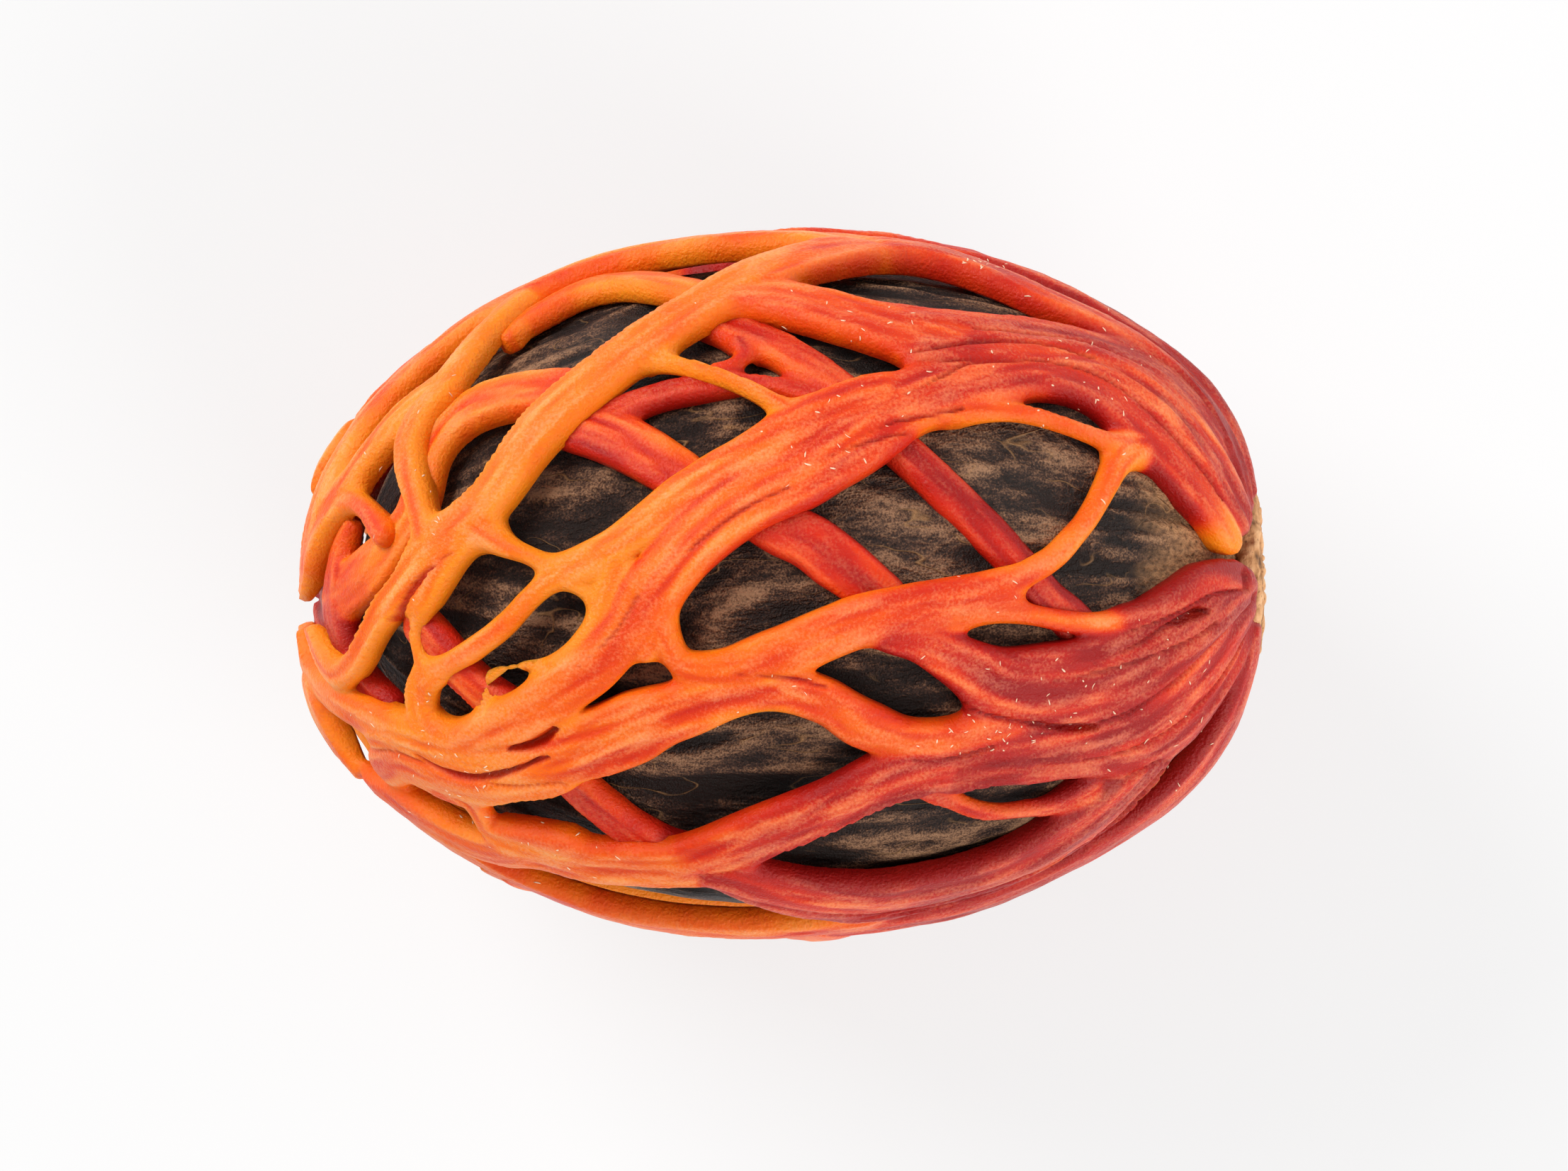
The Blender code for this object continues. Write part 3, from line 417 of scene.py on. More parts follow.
# ---------------------------------------------------------------- cutting the net out of the skin
def egg_mesh(depth, fineness):
    """A fine, evenly divided skin."""
    bm = bmesh.new()
    bmesh.ops.create_icosphere(bm, subdivisions=fineness, radius=1.0)
    mesh = bpy.data.meshes.new("skin")
    bm.to_mesh(mesh)
    bm.free()
    points = np.empty(len(mesh.vertices) * 3)
    mesh.vertices.foreach_get("co", points)
    mesh.vertices.foreach_set("co", (points.reshape(-1, 3) * egg_axes(depth)).ravel())
    return mesh


def get_points(mesh):
    points = np.empty(len(mesh.vertices) * 3)
    mesh.vertices.foreach_get("co", points)
    return points.reshape(-1, 3)


def set_points(mesh, points):
    mesh.vertices.foreach_set("co", points.ravel())
    mesh.update()


def cut_out(mesh, inside):
    """Deletes the skin outside the mark, and then what hangs by a single corner or lies alone."""
    bm = bmesh.new()
    bm.from_mesh(mesh)
    bm.verts.ensure_lookup_table()
    outside = [bm.verts[i] for i in np.nonzero(inside < 0)[0]]
    bmesh.ops.delete(bm, geom=outside, context="VERTS")
    while True:
        bmesh.ops.delete(bm, geom=[e for e in bm.edges if e.is_wire], context="EDGES")
        loose = [v for v in bm.verts if not v.link_faces or sum(e.is_boundary for e in v.link_edges) > 2]
        if not loose:
            break
        bmesh.ops.delete(bm, geom=loose, context="VERTS")
    todo = set(bm.verts)
    crumbs = []
    while todo:
        island = [todo.pop()]
        reached = 0
        while reached < len(island):
            for edge in island[reached].link_edges:
                other = edge.other_vert(island[reached])
                if other in todo:
                    todo.remove(other)
                    island.append(other)
            reached += 1
        if len(island) < 150:
            crumbs += island
    bmesh.ops.delete(bm, geom=crumbs, context="VERTS")
    bm.to_mesh(mesh)
    edge = np.array([v.is_boundary for v in bm.verts])
    bm.free()
    return edge


def pull_to_edge(points, edge, strands, depth, trim):
    """Moves the cut's corner points along the skin onto the mark's true edge."""
    step = 0.03
    for _ in range(2):
        here = points[edge]
        normals = skin_normals(here, depth)
        east = np.cross(normals, [0, 0.3, 1.0])
        east /= np.linalg.norm(east, axis=1)[:, None]
        north = np.cross(normals, east)
        level = trim(here, read_strands(here, strands, False)["inside"])
        slopes = []
        for way in (east, north):
            moved = here + way * step
            slopes.append((trim(moved, read_strands(moved, strands, False)["inside"]) - level) / step)
        steep = np.maximum(slopes[0] ** 2 + slopes[1] ** 2, 0.15)
        shift = np.clip(-level / steep, -0.2, 0.2)[:, None] * (east * slopes[0][:, None] + north * slopes[1][:, None])
        points[edge] = onto_skin(here + shift, depth)
    return points


def even_out(mesh, depth, edge):
    """Slides the points along the skin towards the middle of their neighbours, the edge's own along the edge."""
    points = get_points(mesh)
    pairs = np.empty(len(mesh.edges) * 2, np.int32)
    mesh.edges.foreach_get("vertices", pairs)
    pairs = pairs.reshape(-1, 2)
    rim = edge[pairs].all(1)
    for turn in range(9):
        for links, movable in ((pairs[rim], edge), (pairs, ~edge))[:1 if turn % 3 else 2]:
            total = np.zeros_like(points)
            count = np.zeros(len(points))
            for a, b in ((0, 1), (1, 0)):
                np.add.at(total, links[:, a], points[links[:, b]])
                np.add.at(count, links[:, a], 1)
            ok = movable & (count > 0)
            points[ok] += 0.5 * (total[ok] / count[ok][:, None] - points[ok])
        points = onto_skin(points, depth)
    set_points(mesh, points)


def finish_mesh(name, mesh, material):
    """A finished piece: shaded smooth, riding on the part's only body."""
    mesh.shade_smooth()
    mesh.materials.clear()
    mesh.materials.append(material)
    mesh.name = name
    piece = bpy.data.objects.new(name, mesh)
    bpy.context.scene.collection.objects.link(piece)
    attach(piece, "root")
    return piece


def with_thickness(mesh):
    """The mesh with an inner copy of every point and walls between; the copies follow the originals."""
    carrier = bpy.data.objects.new("thickness", mesh)
    bpy.context.scene.collection.objects.link(carrier)
    solid = carrier.modifiers.new("thickness", "SOLIDIFY")
    solid.thickness = 0.5
    solid.offset = -1
    bpy.context.view_layer.update()
    result = bpy.data.meshes.new_from_object(carrier.evaluated_get(bpy.context.evaluated_depsgraph_get()))
    bpy.data.objects.remove(carrier)
    return result


def put_attribute(mesh, name, values):
    layer = mesh.attributes.new(name, "FLOAT", "POINT")
    layer.data.foreach_set("value", values.astype(np.float32))


def build_net(name, strands, depth, thick, material, trim=lambda points, inside: inside, sunk=0.0, cracks=()):
    """One layer of the net as a closed piece."""
    size = bpy.context.scene.nutmeg_net
    mesh = egg_mesh(depth, size.fineness)
    points = get_points(mesh)
    edge = cut_out(mesh, trim(points, read_strands(points, strands, False)["inside"]))
    set_points(mesh, pull_to_edge(get_points(mesh), edge, strands, depth, trim))
    even_out(mesh, depth, edge)
    points = get_points(mesh)
    read = read_strands(points, strands)
    read["crease"] = np.maximum(read["crease"], read_cracks(points, cracks))
    inside = np.where(edge, 0.0, np.maximum(0, trim(points, read["inside"])))
    normals = skin_normals(points, depth)
    tall = np.minimum(thick, 0.72 * read["width"] + 0.16)
    radius = np.minimum(size.edge_radius, 0.42 * read["width"])
    round_off = radius * (1 - np.sqrt(np.clip(1 - (1 - np.minimum(1, inside / radius)) ** 2, 0, 1)))
    crown = 0.07 * np.minimum(1.5, read["width"]) * (1 - (1 - np.clip(2 * inside / read["width"], 0, 1)) ** 2)
    fade = np.clip(inside / 0.25, 0.25, 1)
    lift = read["over"] + fade * read["relief"] - 0.16 * read["crease"] + crown - 0.08
    top = points + normals * (lift + swell(points) - round_off - sunk)[:, None]
    under_round = 0.5 * round_off
    bottom = points + normals * (read["over"] * 0.6 + swell(points) - tall + under_round - sunk)[:, None]
    count = len(points)
    solid = with_thickness(mesh)
    placed = np.vstack([top, bottom]) + egg_centre()
    placed[:, 2] = np.maximum(placed[:, 2], 0.0)
    set_points(solid, placed * MM)
    for key in ("tone", "streak", "fibre", "crease"):
        put_attribute(solid, key, np.concatenate([read[key], read[key]]))
    # The outer-face mask: it carries the painted sheen and keeps the walls' painted shade off the outer face; it is
    # weaker on the deeper strands, which so get less painted sheen.
    face = np.clip(inside / 0.3, 0, 1) * (1 - 0.9 * depth)
    put_attribute(solid, "face", np.concatenate([face, np.zeros(count)]))
    print(name, "triangles", sum(len(p.vertices) - 2 for p in solid.polygons))
    return finish_mesh(name, solid, material)


# ---------------------------------------------------------------- materials
def new_material(name):
    material = bpy.data.materials.new(name)
    material.use_nodes = True
    return material, material.node_tree.nodes, material.node_tree.links


def add_node(nodes, kind, **settings):
    node = nodes.new(kind)
    for key, value in settings.items():
        setattr(node, key, value)
    return node


def math_node(nodes, links, operation, first, second):
    node = add_node(nodes, "ShaderNodeMath", operation=operation)
    for socket, value in zip(node.inputs, (first, second)):
        if isinstance(value, (int, float)):
            socket.default_value = value
        else:
            links.new(value, socket)
    return node.outputs[0]


def scaled(nodes, links, value, factor):
    return math_node(nodes, links, "MULTIPLY", value, factor)


def centred(nodes, links, value, factor):
    """A 0 to 1 pattern made to swing about 0."""
    return scaled(nodes, links, math_node(nodes, links, "SUBTRACT", value, 0.5), factor)


def attribute(nodes, name):
    return add_node(nodes, "ShaderNodeAttribute", attribute_name=name).outputs["Fac"]


def noise_node(nodes, links, place, cells_per_mm, detail=3.0):
    node = add_node(nodes, "ShaderNodeTexNoise")
    node.inputs["Scale"].default_value = cells_per_mm / MM
    node.inputs["Detail"].default_value = detail
    links.new(place, node.inputs["Vector"])
    return node.outputs["Fac"]


def ramp_node(nodes, links, value, stops):
    ramp = add_node(nodes, "ShaderNodeValToRGB")
    elements = ramp.color_ramp.elements
    while len(elements) < len(stops):
        elements.new(0.5)
    for element, (at, colour) in zip(elements, stops):
        element.position = at
        element.color = (*colour, 1.0)
    links.new(value, ramp.inputs["Fac"])
    return ramp.outputs["Color"]


def mix_colours(nodes, links, amount, first, second, blend="MIX"):
    node = add_node(nodes, "ShaderNodeMix", data_type="RGBA", blend_type=blend)
    for socket, value in ((node.inputs[0], amount), (node.inputs[6], first), (node.inputs[7], second)):
        if isinstance(value, bpy.types.NodeSocket):
            links.new(value, socket)
        elif isinstance(value, (int, float)):
            socket.default_value = value
        else:
            socket.default_value = (*value, 1.0)
    return node.outputs[2]


def fine_grain_group():
    """Pores and specks of a dried plant surface: a height for bumps and a mask of dark specks."""
    found = bpy.data.node_groups.get("fine grain")
    if found:
        return found
    group = bpy.data.node_groups.new("fine grain", "ShaderNodeTree")
    for name, kind in (("Place", "NodeSocketVector"), ("Cells per mm", "NodeSocketFloat")):
        group.interface.new_socket(name, in_out="INPUT", socket_type=kind)
    for name in ("Height", "Specks"):
        group.interface.new_socket(name, in_out="OUTPUT", socket_type="NodeSocketFloat")
    nodes, links = group.nodes, group.links
    entry = nodes.new("NodeGroupInput")
    leave = nodes.new("NodeGroupOutput")
    per_metre = math_node(nodes, links, "DIVIDE", entry.outputs["Cells per mm"], MM)
    rough = add_node(nodes, "ShaderNodeTexNoise")
    rough.inputs["Detail"].default_value = 4.0
    links.new(entry.outputs["Place"], rough.inputs["Vector"])
    links.new(per_metre, rough.inputs["Scale"])
    pores = add_node(nodes, "ShaderNodeTexVoronoi")
    links.new(entry.outputs["Place"], pores.inputs["Vector"])
    links.new(per_metre, pores.inputs["Scale"])
    speck = math_node(nodes, links, "LESS_THAN", pores.outputs["Distance"], 0.18)
    links.new(rough.outputs["Fac"], leave.inputs["Height"])
    links.new(speck, leave.inputs["Specks"])
    return group


def grain(nodes, links, place, cells_per_mm):
    node = add_node(nodes, "ShaderNodeGroup", node_tree=fine_grain_group())
    node.inputs["Cells per mm"].default_value = cells_per_mm
    links.new(place, node.inputs["Place"])
    return node.outputs["Height"], node.outputs["Specks"]


def add_bump(nodes, links, height, depth_mm, shader):
    bump = add_node(nodes, "ShaderNodeBump")
    bump.inputs["Strength"].default_value = 1.0
    bump.inputs["Distance"].default_value = depth_mm * MM
    links.new(height, bump.inputs["Height"])
    links.new(bump.outputs["Normal"], shader.inputs["Normal"])


def mace_material():
    """Dried aril: yellow-orange to crimson by tone, streaked along the fibres; its outer face is paler, partly a
    dusty bloom and partly painted sheen, its side walls carry painted shade as a stronger shift along the tone ramp,
    and its creases and cracks carry painted shade.
    """
    found = bpy.data.materials.get("dried aril")
    if found:
        return found
    looks = bpy.context.scene.nutmeg_looks
    material, nodes, links = new_material("dried aril")
    shader = nodes["Principled BSDF"]
    place = add_node(nodes, "ShaderNodeTexCoord").outputs["Object"]
    cloud = noise_node(nodes, links, place, 0.45)
    mottle = noise_node(nodes, links, place, 2.2, 4.0)
    streak = attribute(nodes, "streak")
    fibre = attribute(nodes, "fibre")
    face = attribute(nodes, "face")
    tone = attribute(nodes, "tone")
    # Painted shade on the side walls: away from the outer face the tone is pushed further along the ramp, deeper
    # crimson on the red strands and purer yellow-orange on the pale ones, standing in for the walls lying in shade
    # and glowing with light that passes through.
    wall_shade_shift = scaled(nodes, links, math_node(nodes, links, "SUBTRACT", tone, 0.5), 0.7)
    wall_shade_shift = math_node(nodes, links, "MULTIPLY", wall_shade_shift, math_node(nodes, links, "SUBTRACT", 1.0, face))
    for part in (wall_shade_shift, centred(nodes, links, cloud, 0.3), scaled(nodes, links, streak, -0.36),
                 scaled(nodes, links, fibre, -0.2), centred(nodes, links, mottle, 0.12)):
        tone = math_node(nodes, links, "ADD", tone, part)
    base = ramp_node(nodes, links, tone, [
        (0.0, looks.aril_yellow), (0.18, (0.92, 0.185, 0.004)), (0.36, (0.84, 0.110, 0.003)),
        (0.52, (0.74, 0.050, 0.003)), (0.68, (0.60, 0.019, 0.004)), (0.84, (0.45, 0.009, 0.004)),
        (1.0, looks.aril_crimson)])
    # The outer face's paleness is partly a dusty bloom of the dried aril and partly painted sheen that stands in for
    # the soft light's highlight; it lies on the outer face and fades onto the side walls.
    frost = noise_node(nodes, links, place, 10.0, 4.0)
    bloom_and_sheen_amount = math_node(nodes, links, "ADD", centred(nodes, links, frost, 4.0), scaled(nodes, links, fibre, 1.6))
    bloom_and_sheen_amount = math_node(nodes, links, "ADD", bloom_and_sheen_amount, centred(nodes, links, mottle, 1.5))
    bloom_and_sheen_amount = math_node(nodes, links, "MAXIMUM", math_node(nodes, links, "ADD", bloom_and_sheen_amount, 0.35), 0.0)
    bloom_and_sheen_amount = scaled(nodes, links, math_node(nodes, links, "MULTIPLY", bloom_and_sheen_amount, face), looks.bloom_and_sheen_strength)
    # Colour of the pale bloom and the painted sheen.
    bloom_and_sheen_colour = ramp_node(nodes, links, tone, [(0.0, (0.97, 0.50, 0.24)), (0.5, (0.95, 0.35, 0.13)),
                                          (1.0, (0.82, 0.25, 0.15))])
    colour = mix_colours(nodes, links, bloom_and_sheen_amount, base, bloom_and_sheen_colour)
    # Painted shade in creases and cracks: the colour is multiplied darker and redder there, partly for their shade
    # and partly for the redder inner walls they open onto.
    colour = mix_colours(nodes, links, attribute(nodes, "crease"), colour, (0.66, 0.20, 0.15), "MULTIPLY")
    height, specks = grain(nodes, links, place, 6.0)
    links.new(colour, shader.inputs["Base Color"])
    shader.inputs["Roughness"].default_value = 0.36
    shader.inputs["Specular IOR Level"].default_value = 0.22
    shader.inputs["Subsurface Weight"].default_value = looks.glow_through
    shader.inputs["Subsurface Radius"].default_value = (1.0, 0.3, 0.06)
    shader.inputs["Subsurface Scale"].default_value = 0.35 * MM
    add_bump(nodes, links, math_node(nodes, links, "ADD", height, scaled(nodes, links, frost, 1.2)), 0.045, shader)
    return material


def shell_material():
    """Woody shell: nearly black in the furrows, brown on the ridges, tan along its thin veins."""
    looks = bpy.context.scene.nutmeg_looks
    material, nodes, links = new_material("woody shell")
    shader = nodes["Principled BSDF"]
    place = add_node(nodes, "ShaderNodeTexCoord").outputs["Object"]
    cloud = noise_node(nodes, links, place, 0.5, 4.0)
    stretch = add_node(nodes, "ShaderNodeMapping")
    stretch.inputs["Scale"].default_value = (0.3, 1.0, 1.0)
    links.new(place, stretch.inputs["Vector"])
    crust = noise_node(nodes, links, stretch.outputs["Vector"], 6.0, 4.0)
    grit = noise_node(nodes, links, place, 14.0, 3.0)
    ridge = math_node(nodes, links, "ADD", attribute(nodes, "ridge"), centred(nodes, links, cloud, 0.55))
    ridge = math_node(nodes, links, "ADD", ridge, centred(nodes, links, crust, 1.0))
    ridge = math_node(nodes, links, "ADD", ridge, centred(nodes, links, grit, 1.4))
    ridge = math_node(nodes, links, "ADD", ridge, -0.05)
    base = ramp_node(nodes, links, ridge, [(0.1, looks.shell_dark), (0.38, (0.045, 0.021, 0.013)),
                                           (0.60, looks.shell_brown), (0.95, (0.36, 0.19, 0.10))])
    height, specks = grain(nodes, links, place, 5.0)
    bend = noise_node(nodes, links, stretch.outputs["Vector"], 0.6, 2.0)
    line = math_node(nodes, links, "ABSOLUTE", math_node(nodes, links, "SUBTRACT", bend, 0.5), 0.0)
    line = math_node(nodes, links, "SUBTRACT", 1.0, scaled(nodes, links, line, 110.0))
    line = math_node(nodes, links, "MAXIMUM", line, 0.0)
    broken = math_node(nodes, links, "ADD", centred(nodes, links, cloud, 6.0), 0.35)
    broken = math_node(nodes, links, "MAXIMUM", broken, 0.0)
    vein = math_node(nodes, links, "MULTIPLY", line, math_node(nodes, links, "MINIMUM", broken, 0.8))
    colour = mix_colours(nodes, links, vein, base, looks.vein_tan)
    patch = math_node(nodes, links, "ADD", centred(nodes, links, crust, 2.4), 0.75)
    patch = math_node(nodes, links, "MULTIPLY", attribute(nodes, "cork"), math_node(nodes, links, "MINIMUM", patch, 1.1))
    patch = math_node(nodes, links, "MAXIMUM", patch, 0.0)
    colour = mix_colours(nodes, links, patch, colour, looks.cork)
    colour = mix_colours(nodes, links, math_node(nodes, links, "MULTIPLY", specks, 0.3), colour,
                         (0.02, 0.01, 0.006))
    links.new(colour, shader.inputs["Base Color"])
    shader.inputs["Roughness"].default_value = 0.55
    shader.inputs["Specular IOR Level"].default_value = 0.3
    rough = math_node(nodes, links, "ADD", scaled(nodes, links, crust, 1.4), scaled(nodes, links, grit, 0.8))
    rough = math_node(nodes, links, "ADD", rough, scaled(nodes, links, vein, 0.6))
    add_bump(nodes, links, rough, 0.15, shader)
    return material


def cork_material():
    """The scar: tan cork with dark pits."""
    looks = bpy.context.scene.nutmeg_looks
    material, nodes, links = new_material("corky scar")
    shader = nodes["Principled BSDF"]
    place = add_node(nodes, "ShaderNodeTexCoord").outputs["Object"]
    cloud = noise_node(nodes, links, place, 1.6, 5.0)
    height, specks = grain(nodes, links, place, 4.0)
    tan = tuple(looks.cork)
    base = ramp_node(nodes, links, math_node(nodes, links, "ADD", cloud, attribute(nodes, "pit")),
                     [(0.25, (0.16, 0.07, 0.03)), (0.42, (0.42, 0.2, 0.08)), (0.55, tan),
                      (0.8, (0.80, 0.47, 0.24))])
    colour = mix_colours(nodes, links, math_node(nodes, links, "MULTIPLY", specks, 0.5), base, (0.12, 0.05, 0.025))
    links.new(colour, shader.inputs["Base Color"])
    shader.inputs["Roughness"].default_value = 0.8
    shader.inputs["Specular IOR Level"].default_value = 0.3
    add_bump(nodes, links, height, 0.12, shader)
    return material


def plain_material(name, colour, roughness, glow=0.0):
    material, nodes, _ = new_material(name)
    shader = nodes["Principled BSDF"]
    shader.inputs["Base Color"].default_value = (*colour, 1.0)
    shader.inputs["Roughness"].default_value = roughness
    shader.inputs["Emission Color"].default_value = (1.0, 1.0, 1.0, 1.0)
    shader.inputs["Emission Strength"].default_value = glow
    return material


# ---------------------------------------------------------------- the pieces
def open_slits(points, inside):
    """Cuts the slits out of the net."""
    inside = inside.copy()
    for route in SLITS:
        slit = Strand(0, (0, 0, 0, 0, route), 0.0, 0.0)
        near = slit.near(points, 0.5)
        if len(near):
            inside[near] = np.minimum(inside[near], -slit.measure(points[near])[0])
    return inside


def make_outer_net():
    size = bpy.context.scene.nutmeg_net
    strands = [Strand(i, spec, 0.0, 0.0) for i, spec in enumerate(OUTER_STRANDS.values())]
    cracks = [Strand(200 + i, (0, 0, deep, 0, route), 0.0, 0.0) for i, (deep, route) in enumerate(CRACKS.values())]
    net = build_net("mace_net", strands, 0.0, size.outer_thick, mace_material(), open_slits, cracks=cracks)
    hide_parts("mace")


def make_inner_net():
    size = bpy.context.scene.nutmeg_net
    strands = [Strand(40 + i, spec, size.inner_depth, 0.0) for i, spec in enumerate(INNER_STRANDS.values())]
    build_net("mace_inner_strands", strands, size.inner_depth, size.inner_thick, mace_material())


def rim_line():
    """Every 0.5 mm along the egg: how many degrees from the top the upper strands' middles reach, per side."""
    places = np.arange(-17.0, 17.5, 0.5)
    reach = np.zeros((2, len(places)))
    for i, spec in enumerate(OUTER_STRANDS.values()):
        spots = Strand(i, spec, 0.0, 0.0).spots
        angle = np.degrees(np.arctan2(spots[:, 1], spots[:, 2]))
        slot = np.clip(np.round((spots[:, 0] + 17.0) * 2).astype(int), 0, len(places) - 1)
        for side, sign in enumerate((1, -1)):
            np.maximum.at(reach[side], slot, sign * angle)
    reach = np.where(reach < 70.0, 86.0, np.minimum(reach, 92.0))
    soft = np.ones(3) / 3
    return places, [np.convolve(np.pad(row, 1, "edge"), soft, "valid") for row in reach]


def below_only(points, inside):
    """Ends the underside's strands beneath the upper side's rim, and short of the two free tips."""
    places, (far, near) = rim_line()
    angle = np.degrees(np.arctan2(points[:, 1], points[:, 2]))
    rim = np.where(angle > 0, np.interp(points[:, 0], places, far), np.interp(points[:, 0], places, near))
    under = (np.abs(angle) - rim) * 0.2
    return np.minimum(np.minimum(inside, under), points[:, 0] + 15.7)


def make_net_below():
    size = bpy.context.scene.nutmeg_net
    strands = [Strand(80 + i, spec, 0.0, size.turn_below) for i, spec in enumerate(OUTER_STRANDS.values())]
    strands += [Strand(130 + i, spec, 0.0, 0.0) for i, spec in enumerate(BELOW_STRANDS.values())]
    build_net("mace_net_below", strands, 0.0, size.outer_thick, mace_material(), below_only, 0.1)


def make_inner_net_below():
    size = bpy.context.scene.nutmeg_net
    strands = [Strand(140 + i, spec, size.inner_depth, size.turn_below)
               for i, spec in enumerate(INNER_STRANDS.values())]
    build_net("mace_inner_strands_below", strands, size.inner_depth, size.inner_thick, mace_material(), below_only)


def make_seed():
    """The nut in its shell, with furrows and veins that run lengthwise and meet at the scar."""
    size = bpy.context.scene.nutmeg_seed
    bm = bmesh.new()
    bmesh.ops.create_uvsphere(bm, u_segments=size.around, v_segments=size.along, radius=1.0)
    mesh = bpy.data.meshes.new("seed")
    bm.to_mesh(mesh)
    bm.free()
    ball = get_points(mesh)
    along, across = ball[:, 2], ball[:, [0, 1]]
    girth = np.linalg.norm(across, axis=1)
    angle = np.arctan2(across[:, 0], across[:, 1])
    reach = np.where(along > 0, size.scar_side, size.tip_side)
    bluntness = np.where(along > 0, 2.35, 2.0)
    x = np.sign(along) * np.abs(along) ** (2 / bluntness) * reach
    arc = angle * size.half_girth
    wind = 1.6 * noise(np.stack([x * 0.16, np.cos(angle) * 1.2, np.sin(angle) * 1.2], 1), 21)
    ring = np.stack([np.cos(angle + wind * 0.09), np.sin(angle + wind * 0.09)], 1) * size.half_girth

    def furrow(stretch, fine, seed):
        return noise(np.stack([x * stretch, ring[:, 0] * fine, ring[:, 1] * fine], 1), seed)
    broad = furrow(0.12, 0.55, 22)
    ridge = 1 - 2 * np.abs(furrow(0.28, 1.0, 23)) + 0.6 * furrow(0.5, 1.9, 25)
    fine = furrow(0.9, 2.8, 24)
    relief = 0.12 * broad + 0.1 * (ridge - 0.5) + 0.06 * fine
    radius = size.half_girth * girth + relief * np.clip(girth * 4, 0, 1)
    x = x + np.where(along > 0, 0.12, -0.12) * (1 - girth) * broad
    points = np.stack([x, radius * np.sin(angle), radius * np.cos(angle)], 1)
    set_points(mesh, (points + egg_centre()) * MM)
    put_attribute(mesh, "ridge", 0.42 + 0.15 * broad + 0.42 * (ridge - 0.5) + 0.35 * fine)
    cork = np.clip((x - size.cork_start + 0.9 * furrow(0.3, 1.2, 28)) / 1.6, 0, 1)
    put_attribute(mesh, "cork", cork * 0.85)
    seed = finish_mesh("seed_shell", mesh, shell_material())
    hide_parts("seed")


def make_scar():
    """A domed plate of cork with a ragged rim, at the end where the seed grew."""
    size = bpy.context.scene.nutmeg_seed
    bm = bmesh.new()
    bmesh.ops.create_icosphere(bm, subdivisions=7, radius=1.0)
    mesh = bpy.data.meshes.new("scar")
    bm.to_mesh(mesh)
    bm.free()
    ball = get_points(mesh)
    angle = np.arctan2(ball[:, 1], ball[:, 2])
    rim = np.hypot(ball[:, 1], ball[:, 2])
    ragged = noise(np.stack([np.cos(angle) * 3, np.sin(angle) * 3, ball[:, 0] * 0], 1), 31)
    ragged += 0.6 * noise(np.stack([np.cos(angle) * 9, np.sin(angle) * 9, ball[:, 0] * 2], 1), 32)
    radius = size.scar_radius * (1 + 0.06 * ragged)
    flat = np.sign(ball[:, 0]) * np.abs(ball[:, 0]) ** 0.6
    x = size.scar_reach - size.scar_thick / 2 + flat * size.scar_thick / 2
    points = np.stack([x, ball[:, 1] * radius, ball[:, 2] * radius], 1)
    pit = noise(points * 2.2, 33) + 0.6 * noise(points * 5.0, 34)
    points += ball * (0.11 * pit)[:, None]
    points[:, 0] = np.minimum(points[:, 0] - 0.15 * (1 - rim), size.scar_reach + 0.05)
    set_points(mesh, (points + egg_centre()) * MM)
    put_attribute(mesh, "pit", 0.16 * pit)
    finish_mesh("scar", mesh, cork_material())


def make_painted_glints():
    """Painted glints: tiny pale slivers laid on the strands' upper faces, standing in for small highlights."""
    looks = bpy.context.scene.nutmeg_looks
    net = bpy.data.objects["mace_net"].data
    bm = bmesh.new()
    bm.from_mesh(net)
    tree = BVHTree.FromBMesh(bm)
    bm.free()
    draw = np.random.default_rng(5)
    bm = bmesh.new()
    placed = 0
    for middle_x, middle_y, spread_x, spread_y, count in GLINT_PATCHES:
        for _ in range(count):
            x = middle_x + spread_x * draw.normal()
            y = middle_y + spread_y * draw.normal()
            length, turn, bend = draw.uniform(0.04, 0.15), draw.uniform(0, math.pi), draw.uniform(-2.5, 2.5)
            spot, normal, _, _ = tree.ray_cast(Vector(((x + CENTRE_X) * MM, y * MM, 0.03)), Vector((0, 0, -1)))
            if spot is None or spot.z < 0.012:
                continue
            made = bmesh.ops.create_icosphere(bm, subdivisions=1, radius=1.0)["verts"]
            bmesh.ops.scale(bm, vec=(length, draw.uniform(0.015, 0.035), 0.015), verts=made)
            for vert in made:
                vert.co.y += bend * vert.co.x ** 2
            lay = normal.to_track_quat("Z", "X").to_matrix().to_4x4()
            place = Matrix.Translation(spot) @ lay @ Matrix.Rotation(turn, 4, "Z") @ Matrix.Scale(MM, 4)
            bmesh.ops.transform(bm, matrix=place, verts=made)
            placed += 1
    mesh = bpy.data.meshes.new("flecks")
    bm.to_mesh(mesh)
    bm.free()
    print("flecks", placed)
    finish_mesh("painted_glints", mesh, plain_material("painted glints", looks.glint_colour, 0.5))


